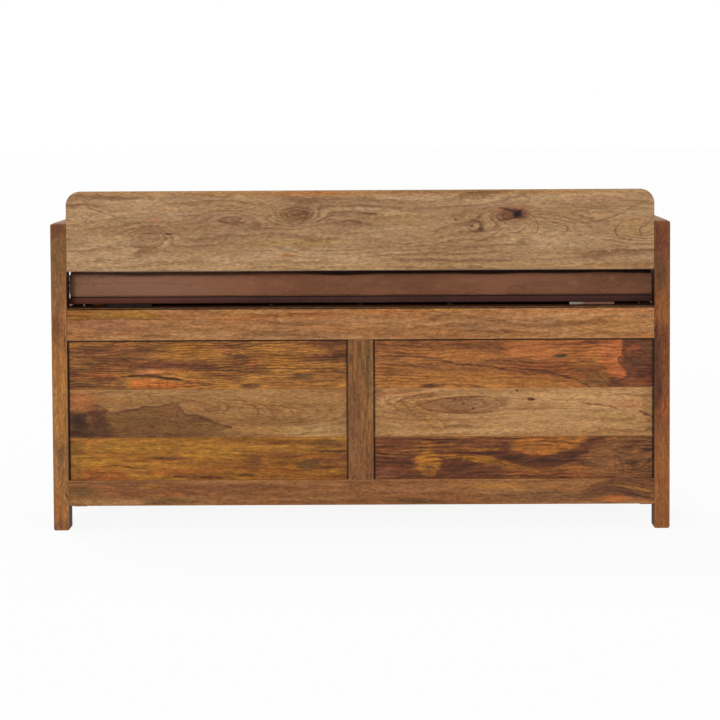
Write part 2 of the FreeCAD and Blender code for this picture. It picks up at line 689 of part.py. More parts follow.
def main():
    """Build every sub-part, then check and write them."""
    batten_places = [(f"{step} * bumper_spacing", f"{RAIL_FACE} - batten_depth",
                      f"{FRAME_TOP} - batten_height / 2") for step in (-2, -1, 0, 1, 2)]
    batten_screws, batten_holes = screws("batten_screw", batten_places, ALONG_Y, "batten_screw")

    floor_holes = {}
    cleat_holes = {}
    floor_screws = []
    for face in FACES:
        down = [(f"{step} * bumper_spacing", f"{face} * ({RAIL_FACE} - cleat_side / 2)", PANEL_BOTTOM)
                for step in (-3, -1, 1, 3)]
        into_rail = [(f"{step} * bumper_spacing", f"{face} * ({RAIL_FACE} - cleat_side)",
                      f"{PANEL_BOTTOM} - floor_thickness - cleat_side / 2") for step in (-2, 0, 2)]
        made, floor_holes[face] = screws("floor_screw", down, -UP, "floor_screw")
        floor_screws += made
        made, cleat_holes[face] = screws("cleat_screw", into_rail, ALONG_Y * face, "floor_screw")
        floor_screws += made

    frame_holes = {}
    lid_holes = {}
    stay_holes = {}
    frame_screws = []
    lid_screws = []
    for side in SIDES:
        on_batten, on_lid = hinge_screw_places(side)
        made, frame_holes[side] = screws("frame_screw", on_batten, ALONG_Y, "hinge_screw")
        frame_screws += made
        made, lid_holes[side] = screws("lid_screw", on_lid, UP, "hinge_screw")
        lid_screws += made
        made, stay_holes[side] = screws("stay_screw", stay_screw_places(side), UP, "hinge_screw")
        lid_screws += made

    posts()
    backrest()
    face_frames(batten_holes, cleat_holes)
    side_frames({side: stud_hole(side) for side in SIDES})
    batten(batten_holes + frame_holes[LEFT] + frame_holes[RIGHT])
    storage_floor(floor_holes, cleat_holes)
    hinges(frame_holes, lid_holes)
    lid(lid_holes[LEFT] + lid_holes[RIGHT] + stay_holes[LEFT] + stay_holes[RIGHT])
    for side in SIDES:
        stay(side, stay_holes[side])
    keep(grouped("studs", [stud(side) for side in SIDES]), "lid_stay_studs")
    bumpers()
    cushion()
    for label, group in (("batten_screws", batten_screws), ("floor_screws", floor_screws),
                         ("hinge_frame_screws", frame_screws), ("lid_screws", lid_screws)):
        keep(grouped(f"{label}_set", group), label)

    doc.recompute()
    failed = [item.Label for item in doc.Objects if {"Invalid", "Error"} & set(item.State)]
    if failed:
        raise RuntimeError(f"these objects failed: {failed}")
    os.makedirs("parts", exist_ok=True)
    for piece in nodes:
        if piece.Shape.isNull() or not piece.Shape.isValid() or not piece.Shape.Solids:
            raise RuntimeError(f"{piece.Label} has no valid solid")
        piece.Shape.exportStep(f"parts/{piece.Label}.step")
    print(f"{len(nodes)} sub-parts written")


main()
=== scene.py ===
import logging
import math
import random
from dataclasses import dataclass, field, replace
from enum import Enum
from functools import cache
from typing import Annotated, Callable, Sequence, get_type_hints

import bmesh
import bpy
from mathutils import Matrix, Vector
from mathutils.kdtree import KDTree

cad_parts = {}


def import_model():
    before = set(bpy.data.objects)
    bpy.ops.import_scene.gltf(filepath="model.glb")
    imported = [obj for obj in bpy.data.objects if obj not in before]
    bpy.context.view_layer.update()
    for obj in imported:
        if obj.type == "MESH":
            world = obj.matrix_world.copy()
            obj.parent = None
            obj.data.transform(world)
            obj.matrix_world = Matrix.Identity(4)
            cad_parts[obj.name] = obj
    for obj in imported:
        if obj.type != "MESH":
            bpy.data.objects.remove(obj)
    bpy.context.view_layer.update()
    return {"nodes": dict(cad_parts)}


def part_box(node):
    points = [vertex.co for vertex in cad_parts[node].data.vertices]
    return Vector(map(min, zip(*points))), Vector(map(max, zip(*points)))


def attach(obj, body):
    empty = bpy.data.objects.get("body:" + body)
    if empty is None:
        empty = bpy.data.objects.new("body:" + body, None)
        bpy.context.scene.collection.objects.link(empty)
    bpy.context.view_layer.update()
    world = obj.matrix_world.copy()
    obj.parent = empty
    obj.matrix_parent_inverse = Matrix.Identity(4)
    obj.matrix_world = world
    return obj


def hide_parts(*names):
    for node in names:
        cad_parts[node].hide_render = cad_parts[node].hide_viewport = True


# A storage bench seen from behind: boards with their own figure, a leather pad on a lid
# that lifts, two hinges, two stays. Lengths are in metres, and MM turns millimetres into them.
# Boards' marks are given in millimetres: first along the grain, then across it.

MM = 0.001
Colour = tuple[float, float, float, float]
Pair = tuple[float, float]
Piece = bpy.types.Object
Socket = bpy.types.NodeSocket
Value = Socket | float
Outputs = dict[str, Socket]
Place = Annotated[Socket, "NodeSocketVector"]
Number = Annotated[Socket, "NodeSocketFloat"]
Tint = Annotated[Socket, "NodeSocketColor"]
KINDS = {"VECTOR": "NodeSocketVector", "VALUE": "NodeSocketFloat", "RGBA": "NodeSocketColor"}

report = logging.getLogger("bench")


def tone(red: int, green: int, blue: int) -> Colour:
    """Turns a colour as it is seen on a screen into the linear colour that a shader takes.

    Args:
        red: red, 0 to 255.
        green: green, 0 to 255.
        blue: blue, 0 to 255.

    Returns:
        The linear colour with an alpha of 1.
    """
    shares = (part / 255 for part in (red, green, blue))
    return (*(s / 12.92 if s <= 0.04045 else ((s + 0.055) / 1.055) ** 2.4 for s in shares), 1.0)


# ------------------------------------------------------------------------------------------
# Node trees
# ------------------------------------------------------------------------------------------


class Tree:
    """A node tree that is being wired, with a short call for each kind of node."""

    def __init__(self, tree: bpy.types.NodeTree) -> None:
        """Takes the tree over, as it is."""
        self.tree = tree

    def fill(self, made: bpy.types.Node, inputs: dict) -> bpy.types.Node:
        """Links a node's inputs to sockets, and sets those that are given as values."""
        for name, value in inputs.items():
            if isinstance(value, Socket):
                self.tree.links.new(value, made.inputs[name])
            else:
                made.inputs[name].default_value = value
        return made

    def node(self, kind: str, inputs: dict | None = None, **settings: object) -> bpy.types.Node:
        """Adds a node.

        Args:
            kind: the node's type name, without the ShaderNode before it.
            inputs: what goes into its sockets, by name or number: a socket is linked, a value set.
            settings: the node's own settings.

        Returns:
            The new node.
        """
        made = self.tree.nodes.new(f"ShaderNode{kind}")
        for name, value in settings.items():
            setattr(made, name, value)
        return self.fill(made, inputs or {})

    def math(self, operation: str, *values: Value, clamp: bool = False) -> Socket:
        """Adds a Math node and returns its result."""
        return self.node("Math", dict(enumerate(values)), operation=operation, use_clamp=clamp).outputs[0]

    def times(self, value: Value, factor: Value) -> Socket:
        """Multiplies two numbers."""
        return self.math("MULTIPLY", value, factor)

    def blend(self, value: Value, factor: Value, start: Value,
              clamp: bool = False) -> Socket:
        """Gives value times factor plus start."""
        return self.math("MULTIPLY_ADD", value, factor, start, clamp=clamp)

    def minus(self, value: Value, less: Value) -> Socket:
        """Subtracts one number from another."""
        return self.math("SUBTRACT", value, less)

    def least(self, first: Value, second: Value) -> Socket:
        """Gives the smaller of two numbers."""
        return self.math("MINIMUM", first, second)

    def most(self, first: Value, second: Value) -> Socket:
        """Gives the larger of two numbers."""
        return self.math("MAXIMUM", first, second)

    def vector(self, operation: str, *values: Socket | Sequence[float]) -> Socket:
        """Adds a Vector Math node and returns its vector."""
        return self.node("VectorMath", dict(enumerate(values)), operation=operation).outputs[0]

    def scaled(self, value: Socket, factor: Value) -> Socket:
        """Multiplies a vector or a colour by one number."""
        return self.node("VectorMath", {0: value, "Scale": factor}, operation="SCALE").outputs[0]

    def axes(self, value: Socket) -> Sequence[Socket]:
        """Takes a vector apart."""
        return self.node("SeparateXYZ", {0: value}).outputs

    def join(self, parts: dict[int, Socket]) -> Socket:
        """Makes a vector of the parts that are given, by axis."""
        return self.node("CombineXYZ", parts).outputs[0]

    def span(self, value: Socket, low: Value, high: Value, start: float = 0.0,
             end: float = 1.0) -> Socket:
        """Maps low..high to start..end, smoothly and with nothing beyond."""
        inputs = {"Value": value, "From Min": low, "From Max": high, "To Min": start, "To Max": end}
        return self.node("MapRange", inputs, interpolation_type="SMOOTHSTEP").outputs[0]

    def noise(self, place: Socket, stretch: Sequence[float], detail: float = 2.0, rough: float = 0.5,
              twist: float = 0.0) -> Socket:
        """Adds a noise whose frequency along each axis is given, in periods to the metre.

        Args:
            place: the point.
            stretch: periods to the metre along the three axes.
            detail: octaves.
            rough: weight of the finer octaves.
            twist: distortion.

        Returns:
            The noise, about 0.5 in the middle.
        """
        moved = self.vector("MULTIPLY", place, tuple(stretch))
        inputs = {"Vector": moved, "Scale": 1.0, "Detail": detail, "Roughness": rough, "Distortion": twist}
        return self.node("TexNoise", inputs).outputs["Fac"]

    def swing(self, place: Socket, *shape: object) -> Socket:
        """Adds a noise that is about 0 in the middle. It takes what noise takes."""
        return self.minus(self.noise(place, *shape), 0.5)

    def mix(self, share: Value, first: Socket | Colour, second: Socket | Colour,
            blend: str = "MIX") -> Socket:
        """Mixes two colours and returns the result."""
        return self.fill(self.node("Mix", data_type="RGBA", blend_type=blend),
                         {0: share, 6: first, 7: second}).outputs[2]

    def group(self, tree: bpy.types.NodeTree, **inputs: object) -> Sequence[Socket]:
        """Places a node group and returns its outputs."""
        return self.fill(self.node("Group", node_tree=tree), inputs).outputs

    def surface(self, shader: bpy.types.Node, colour: Socket, rough: Socket, height: Socket, depth: Pair,
                specular: float = 0.5) -> None:
        """Feeds a Principled BSDF.

        Args:
            shader: the Principled BSDF.
            colour: its colour.
            rough: its roughness.
            height: the height of its relief.
            depth: the relief's strength and its distance in metres.
            specular: its specular level.
        """
        bump = self.node("Bump", {"Height": height, "Strength": depth[0], "Distance": depth[1]})
        self.fill(shader, {"Base Color": colour, "Roughness": rough, "Normal": bump.outputs[0],
                           "Specular IOR Level": specular})


def effect(name: str) -> Callable[[Callable[..., Outputs]], Callable[[], bpy.types.NodeTree]]:
    """Turns a function that wires a shader node group into one that gives the group.

    The group is built once, when first asked for. Its inputs are the function's own, with a capital
    letter, and its outputs are what the function returns by name.

    Args:
        name: the group's name.

    Returns:
        The decorator.
    """

    def decorate(wire: Callable[..., Outputs]) -> Callable[[], bpy.types.NodeTree]:
        """Wraps one function.

        Args:
            wire: the function.

        Returns:
            A function that gives the group.
        """

        @cache
        def build() -> bpy.types.NodeTree:
            """Builds the group."""
            tree = bpy.data.node_groups.new(name, "ShaderNodeTree")
            kinds = [(label, kind) for label, kind in get_type_hints(wire, include_extras=True).items()
                     if label not in ("t", "return")]
            for label, kind in kinds:
                tree.interface.new_socket(label.capitalize(), in_out="INPUT",
                                          socket_type=kind.__metadata__[0])
            start = tree.nodes.new("NodeGroupInput").outputs
            results = wire(Tree(tree), *(start[label.capitalize()] for label, _ in kinds))
            for label, socket in results.items():
                tree.interface.new_socket(label, in_out="OUTPUT", socket_type=KINDS[socket.type])
            end = tree.nodes.new("NodeGroupOutput").inputs
            for label, socket in results.items():
                tree.links.new(socket, end[label])
            return tree

        return build

    return decorate


class Effects:
    """The shader node groups that several materials share."""

    @staticmethod
    @effect("wood_fibres")
    def fibres(t: Tree, place: Place, shift: Place, seed: Number) -> Outputs:
        """Grain that wanders a little: streaks, fibres, pores and curl, and how uneven the marks are.

        Args:
            t: the group's tree.
            place: the point, with the grain along its first axis.
            shift: how far one seed is from the next.
            seed: the board's number.

        Returns:
            The bent point, the noises, and the unevenness.
        """
        place = t.vector("ADD", place, t.scaled(shift, seed))
        slow, quick = t.swing(place, (11, 20, 20)), t.swing(place, (45, 60, 60))
        off = t.blend(slow, 0.010, t.times(quick, 0.003))
        bent = t.vector("ADD", place, t.join({1: off, 2: off}))
        x, y, z = t.axes(bent)
        slant = t.join({0: t.blend(y, 0.9, x), 1: y, 2: z})
        gate = t.span(t.noise(place, (6, 13, 13)), 0.46, 0.62)
        return {"Bent": bent,
                "Streak": t.noise(bent, (26, 180, 180), 3.0, 0.66),
                "Fibre": t.noise(bent, (110, 320, 320), 3.0, 0.7),
                "Pores": t.span(t.noise(bent, (110, 450, 450), 1.0), 0.62, 0.70),
                "Curl": t.blend(t.swing(slant, (125, 30, 30), 1.0, 0.5, 0.6), gate, 0.5),
                "Rough": t.swing(place, (30, 130, 130), 4.0, 0.68),
                "Wave": t.swing(place, (36, 70, 70), 4.0, 0.66)}

    @staticmethod
    @effect("board_figure")
    def figure(t: Tree, place: Place, lines: Number, wander: Number, lift: Number) -> Outputs:
        """The board figure: dark late wood lines along the contours of a slow field, and slow bands.

        Args:
            t: the group's tree.
            place: the bent point.
            lines: lines to the metre.
            wander: how far they wander.
            lift: what knots add to the field.

        Returns:
            The late wood, the bands and the warm patches.
        """
        _, y, z = t.axes(place)
        level = t.times(t.blend(z, 0.6, y), lines)
        level = t.blend(t.swing(place, (1.7, 8, 8)), wander, level)
        level = t.math("ADD", t.blend(t.swing(place, (9, 42, 42)), 1.6, level), lift)
        saw = t.math("FRACT", t.blend(t.swing(place, (40, 240, 240)), 0.7, level))
        line = t.times(t.span(saw, 0.25, 0.9), t.span(saw, 0.9, 1.0, 1.0, 0.0))
        fade = t.span(t.noise(place, (7, 26, 26)), 0.34, 0.66, 0.1, 1.0)
        return {"Late": t.times(line, fade), "Bands": t.noise(place, (3.4, 38, 38), 3.0, 0.6),
                "Warm": t.noise(place, (5, 55, 55), 3.0, 0.6)}

    @staticmethod
    @effect("wood_stain")
    def stain(t: Tree, place: Place, middle: Place, reach: Place, lean: Number, rough: Number, ragged: Number,
              soft: Number, strength: Number, colour: Tint, under: Tint) -> Outputs:
        """A patch of another colour, an ellipse with a ragged edge, laid over the colour so far.

        Args:
            t: the group's tree.
            place: the point.
            middle: its middle.
            reach: its half sizes.
            lean: its turn.
            rough: the unevenness that frays the edge.
            ragged: how far it frays.
            soft: the width of its edge.
            strength: how much of the colour shows.
            colour: the colour.
            under: the colour so far.

        Returns:
            The colour with the patch.
        """
        turned = t.node("VectorRotate", {"Vector": t.vector("SUBTRACT", place, middle), "Angle": lean},
                        rotation_type="Z_AXIS").outputs[0]
        far = t.node("VectorMath", {0: t.vector("DIVIDE", turned, reach)}, operation="LENGTH").outputs[1]
        mask = t.span(t.blend(rough, ragged, far), t.math("ADD", 1.0, soft), t.minus(1.0, soft))
        shown = t.times(t.times(mask, t.blend(rough, 2.2, 0.95, True)), strength)
        return {"Colour": t.mix(shown, under, colour)}

    @staticmethod
    @effect("wood_area")
    def area(t: Tree, along: Number, across: Number, high: Number, low: Number, start: Number, end: Number,
             rough: Number, ragged: Number, soft: Number, strength: Number, colour: Tint,
             under: Tint) -> Outputs:
        """A patch of another colour between two profiles, with a ragged edge.

        Args:
            t: the group's tree.
            along: the coordinate along the profiles.
            across: the coordinate across them.
            high: the high profile's level.
            low: the low profile's level.
            start: where it starts along.
            end: where it ends along.
            rough: the unevenness that frays the edge.
            ragged: how far it frays.
            soft: the width of its edge.
            strength: how much of the colour shows.
            colour: the colour.
            under: the colour so far.

        Returns:
            The colour with the patch.
        """
        room = t.least(t.minus(high, across), t.minus(across, low))
        ends = t.least(t.minus(along, start), t.minus(end, along))
        room = t.blend(rough, ragged, t.least(room, t.times(ends, 0.35)))
        mask = t.span(t.math("DIVIDE", room, soft), -1.0, 1.0)
        shown = t.times(t.times(mask, t.blend(rough, 1.8, 1.0, True)), strength)
        return {"Colour": t.mix(shown, under, colour)}

    @staticmethod
    @effect("wood_knot")
    def knot(t: Tree, place: Place, middle: Place, reach: Place, rise: Number,
             lift: Number) -> Outputs:
        """Raises the figure's field round a point, so that the lines bend round it.

        Args:
            t: the group's tree.
            place: the point.
            middle: its middle.
            reach: its half sizes.
            rise: how far it raises the field.
            lift: the field so far.

        Returns:
            The raised field.
        """
        near = t.vector("DIVIDE", t.vector("SUBTRACT", place, middle), reach)
        square = t.node("VectorMath", {0: near, 1: near}, operation="DOT_PRODUCT").outputs[1]
        return {"Lift": t.blend(t.math("EXPONENT", t.times(square, -1.0)), rise, lift)}

    @staticmethod
    @effect("wood_vein")
    def vein(t: Tree, along: Number, across: Number, level: Number, middle: Number, half: Number,
             width: Number, wave: Number, wobble: Number, rough: Number, strength: Number, open: Number,
             colour: Tint, under: Tint, gap: Number) -> Outputs:
        """A line or crack that follows a profile and tapers to both ends, over the colour so far.

        Args:
            t: the group's tree.
            along: the coordinate along the line.
            across: the coordinate across it.
            level: the line's level.
            middle: its middle along.
            half: half its length.
            width: half its width.
            wave: the unevenness that bends it.
            wobble: how far it bends.
            rough: the unevenness that breaks it up.
            strength: how much of the colour shows.
            open: how open it is.
            colour: the colour.
            under: the colour so far.
            gap: the gaps so far.

        Returns:
            The colour with the line, and the gaps.
        """
        share = t.math("DIVIDE", t.minus(along, middle), half)
        room = t.math("SUBTRACT", 1.0, t.times(share, share), clamp=True)
        off = t.math("ABSOLUTE", t.minus(across, t.blend(wave, wobble, level)))
        wide = t.blend(width, t.math("POWER", room, 0.45), 0.01)
        mask = t.times(t.span(t.math("DIVIDE", off, wide), 1.6, 0.3), t.math("GREATER_THAN", room, 0.0))
        shown = t.times(t.times(mask, t.blend(rough, 2.8, 0.9, True)), strength)
        return {"Colour": t.mix(shown, under, colour), "Gap": t.most(t.times(mask, open), gap)}

    @staticmethod
    @effect("recess_painted_shade")
    def recess(t: Tree, place: Place, low: Place, high: Place, end: Number, reach: Number, strength: Number,
               colour: Tint, under: Tint) -> Outputs:
        """Painted shade: a dark border where a board meets what stands proud of it.

        Args:
            t: the group's tree.
            place: the point.
            low: the opening's lowest corner.
            high: its highest corner.
            end: where the borders end along the board.
            reach: how far in they reach.
            strength: how much of the colour shows.
            colour: the colour.
            under: the colour so far.

        Returns:
            The colour with the borders.
        """
        here, first, last = t.axes(place), t.axes(low), t.axes(high)
        after = t.least(*(t.minus(here[i], first[i]) for i in (0, 1)))
        before = t.least(*(t.minus(last[i], here[i]) for i in (0, 1)))
        mask = t.span(t.math("DIVIDE", t.least(after, before), reach), 1.1, 0.7)
        mask = t.times(mask, t.math("LESS_THAN", here[0], end))
        return {"Colour": t.mix(t.times(mask, strength), under, colour)}

    @staticmethod
    @effect("edge_wear")
    def edge_wear(t: Tree, place: Place, middle: Place, half: Place) -> Outputs:
        """Rubbed edges of a box-shaped piece: 1 on its edges, with an uneven border.

        Args:
            t: the group's tree.
            place: the point.
            middle: the box's middle.
            half: its half sizes.

        Returns:
            The wear.
        """
        off = t.vector("ABSOLUTE", t.vector("SUBTRACT", place, middle))
        x, y, z = t.axes(t.vector("SUBTRACT", half, off))
        edge = t.most(t.least(x, y), t.least(t.most(x, y), z))
        edge = t.blend(t.swing(place, (45, 45, 45), 4.0, 0.65), 0.006, edge)
        return {"Wear": t.span(edge, 0.0032, 0.0004)}

    @staticmethod
    @effect("leather_hide")
    def hide(t: Tree, place: Place, pebbles: Number) -> Outputs:
        """Leather: fine pebbles, small creases and slow clouds of colour.

        Args:
            t: the group's tree.
            place: the point.
            pebbles: pebbles to the metre.

        Returns:
            The pebbles, the creases, the clouds and the mottling.
        """
        bent = t.node("TexNoise", {"Vector": place, "Scale": 90.0, "Detail": 2.0}).outputs["Color"]
        bent = t.vector("ADD", place, t.scaled(t.vector("SUBTRACT", bent, (0.5, 0.5, 0.5)), 0.004))
        cells, folds = (
            t.node("TexVoronoi", inputs, feature="DISTANCE_TO_EDGE").outputs["Distance"] for inputs in (
                {"Vector": bent, "Scale": pebbles},
                {"Vector": t.vector("MULTIPLY", bent, (0.8, 1.0, 1.5)), "Scale": 70.0}))
        return {"Pebble": t.span(cells, 0.0, 0.22),
                "Crease": t.times(t.span(folds, 0.05, 0.0), t.span(t.noise(place, (22, 22, 22)), 0.48, 0.66)),
                "Cloud": t.noise(place, (7, 9, 14), 4.0, 0.6, 0.4),
                "Mottle": t.noise(place, (45, 60, 90), 3.0, 0.6)}

    @staticmethod
    @effect("dust")
    def dust(t: Tree, place: Place) -> Outputs:
        """Specks and smears of dust, for metal, rubber and lining.

        Args:
            t: the group's tree.
            place: the point.

        Returns:
            The smears and the specks.
        """
        smear = t.span(t.noise(place, (24, 24, 24), 4.0, 0.65), 0.45, 0.8)
        speck = t.span(t.noise(place, (700, 700, 700), 2.0), 0.62, 0.75)
        return {"Smear": t.most(smear, t.times(speck, 0.6)), "Speck": speck}


NOISE_SHIFT = (1.31, 0.47, 0.73)


def new_material(name: str) -> tuple[bpy.types.Material, Tree, bpy.types.Node, Socket]:
    """Makes an empty material.

    Args:
        name: its name.

    Returns:
        The material, its tree, its Principled BSDF and the object coordinates.
    """
    material = bpy.data.materials.new(name)
    material.use_nodes = True
    material.node_tree.nodes.clear()
    tree = Tree(material.node_tree)
    shader = tree.node("BsdfPrincipled")
    tree.node("OutputMaterial", {"Surface": shader.outputs[0]})
    return material, tree, shader, tree.node("TexCoord").outputs["Object"]


def put_on(piece: Piece, material: bpy.types.Material) -> None:
    """Puts one material on a whole piece."""
    piece.data.materials.clear()
    piece.data.materials.append(material)
    for face in piece.data.polygons:
        face.material_index = 0


def placed(name: str, mesh: bpy.types.Mesh, smooth: bool = True) -> Piece:
    """Puts a mesh into the scene as an object of the same name."""
    if smooth:
        mesh.shade_smooth()
    made = bpy.data.objects.new(name, mesh)
    bpy.context.scene.collection.objects.link(made)
    return made


def drawn(name: str, points: Sequence[Sequence[float]], faces: Sequence[Sequence[int]],
          smooth: bool = True) -> Piece:
    """Makes an object from points and faces."""
    mesh = bpy.data.meshes.new(name)
    mesh.from_pydata(points, [], faces)
    return placed(name, mesh, smooth)


def worked(name: str, work: bmesh.types.BMesh, smooth: bool = True) -> Piece:
    """Makes an object from a bmesh, which is freed."""
    mesh = bpy.data.meshes.new(name)
    work.to_mesh(mesh)
    work.free()
    return placed(name, mesh, smooth)


def strip(work: bmesh.types.BMesh, first: Sequence[bmesh.types.BMVert],
          second: Sequence[bmesh.types.BMVert]) -> None:
    """Joins two rings of as many points by a strip of faces."""
    count = len(first)
    for i in range(count):
        work.faces.new((first[i], first[(i + 1) % count], second[(i + 1) % count], second[i]))


# ------------------------------------------------------------------------------------------
# Wood
# ------------------------------------------------------------------------------------------


class Grain(Enum):
    """The way a board's grain runs: the row axes along it, across it and through the board."""

    ALONG_X = (0, 2, 1)
    ALONG_Y = (1, 2, 0)
    ALONG_Z = (2, 0, 1)
    FLAT_X = (0, 1, 2)


@dataclass
class Coat:
    """What a board's marks are laid on: its tree, the board's coordinates and what came out so far."""

    tree: Tree
    straight: Socket
    place: Socket
    along: Socket
    across: Socket
    rough: Socket
    wave: Socket
    colour: Socket | Colour
    lift: Value = 0.0
    gap: Value = 0.0

    def sides(self, path: Sequence[float]) -> tuple[Socket, Socket, list[Pair]]:
        """Finds out which way a path runs.

        Args:
            path: its points, along and across the grain in turn.

        Returns:
            The coordinate along the path, the one across it, and the points in rising order.
        """
        points = list(zip(path[::2], path[1::2]))
        steps = [b[0] - a[0] for a, b in zip(points, points[1:])]
        steady = all(s > 0 for s in steps) or all(s < 0 for s in steps)
        steep = abs(points[-1][1] - points[0][1]) > abs(points[-1][0] - points[0][0])
        if steady and not steep:
            return self.along, self.across, sorted(points)
        return self.across, self.along, sorted((z, x) for x, z in points)

    def level(self, value: Socket, points: Sequence[Pair]) -> Socket:
        """Gives a smooth profile's height at a coordinate, through points in rising order.

        Args:
            value: the coordinate.
            points: the profile's points.

        Returns:
            The height.
        """
        made = self.tree.node("FloatCurve", {"Value": value})
        made.mapping.use_clip = False
        curve = made.mapping.curves[0]
        curve.points[0].location, curve.points[1].location = points[0], points[-1]
        for point in points[1:-1]:
            curve.points.new(*point)
        made.mapping.update()
        return made.outputs[0]

    def paint(self, group: bpy.types.NodeTree, **inputs: object) -> Sequence[Socket]:
        """Lays a group over the coat's colour, and returns the group's outputs."""
        made = self.tree.group(group, Under=self.colour, **inputs)
        self.colour = made[0]
        return made


@dataclass(frozen=True)
class Stain:
    """An elliptical patch of colour: its middle and half sizes in millimetres."""

    x: float
    z: float
    wide: float
    high: float
    colour: Colour
    strength: float = 0.8
    lean: float = 0.0
    ragged: float = 1.3
    soft: float = 0.5

    def lay(self, coat: Coat) -> None:
        """Lays the patch over the coat's colour."""
        coat.paint(Effects.stain(), Place=coat.place, Middle=(self.x, self.z, 0),
                   Reach=(self.wide, self.high, 1), Lean=-math.radians(self.lean), Rough=coat.rough,
                   Ragged=self.ragged, Soft=self.soft, Strength=self.strength, Colour=self.colour)


@dataclass(frozen=True)
class Area:
    """A patch of colour between a high and a low profile, both given in the same direction."""

    colour: Colour
    high: tuple[float, ...]
    low: tuple[float, ...]
    strength: float = 0.85
    ragged: float = 8.0
    soft: float = 2.4

    def lay(self, coat: Coat) -> None:
        """Lays the patch over the coat's colour."""
        run, rise, high = coat.sides(self.high)
        low = coat.sides(self.low)[2]
        coat.paint(Effects.area(), Along=run, Across=rise, High=coat.level(run, high),
                   Low=coat.level(run, low), Start=max(high[0][0], low[0][0]),
                   End=min(high[-1][0], low[-1][0]), Rough=coat.rough, Ragged=self.ragged, Soft=self.soft,
                   Strength=self.strength, Colour=self.colour)


@dataclass(frozen=True)
class Knot:
    """A place that the figure's lines bend round, such as a knot or the tip of a cathedral."""

    x: float
    z: float
    wide: float
    high: float
    rise: float

    def lay(self, coat: Coat) -> None:
        """Raises the coat's field."""
        coat.lift = coat.tree.group(Effects.knot(), Place=coat.place, Middle=(self.x, self.z, 0),
                                    Reach=(self.wide, self.high, 1), Rise=self.rise, Lift=coat.lift)[0]


@dataclass(frozen=True)
class Vein:
    """A dark or light line through a few points. Where it is open, it is a crack."""

    width: float
    colour: Colour
    path: tuple[float, ...]
    strength: float = 0.75
    wobble: float = 3.0
    open: float = 0.0

    def lay(self, coat: Coat) -> None:
        """Lays the line over the coat's colour, and opens its gap."""
        run, rise, points = coat.sides(self.path)
        (start, first), (end, last) = points[0], points[-1]
        slope = math.hypot(end - start, last - first) / (end - start)
        coat.gap = coat.paint(
            Effects.vein(), Along=run, Across=rise, Level=coat.level(run, points), Middle=(start + end) / 2,
            Half=(end - start) / 2, Width=self.width / 2 * slope, Wave=coat.wave, Wobble=self.wobble * 2,
            Rough=coat.rough, Strength=self.strength, Open=self.open, Colour=self.colour, Gap=coat.gap)[1]


@dataclass(frozen=True)
class Recess:
    """Painted shade at a board's borders: the opening that it shows in, first and last along and across."""

    low: Pair
    high: Pair
    reach: float = 3.7
    strength: float = 0.85
    end: float = 900.0

    def lay(self, coat: Coat) -> None:
        """Lays the painted shade borders over the coat's colour."""
        coat.paint(Effects.recess(), Place=coat.straight, Low=(*self.low, 0), High=(*self.high, 0),
                   End=self.end, Reach=self.reach, Strength=self.strength, Colour=SOOT)


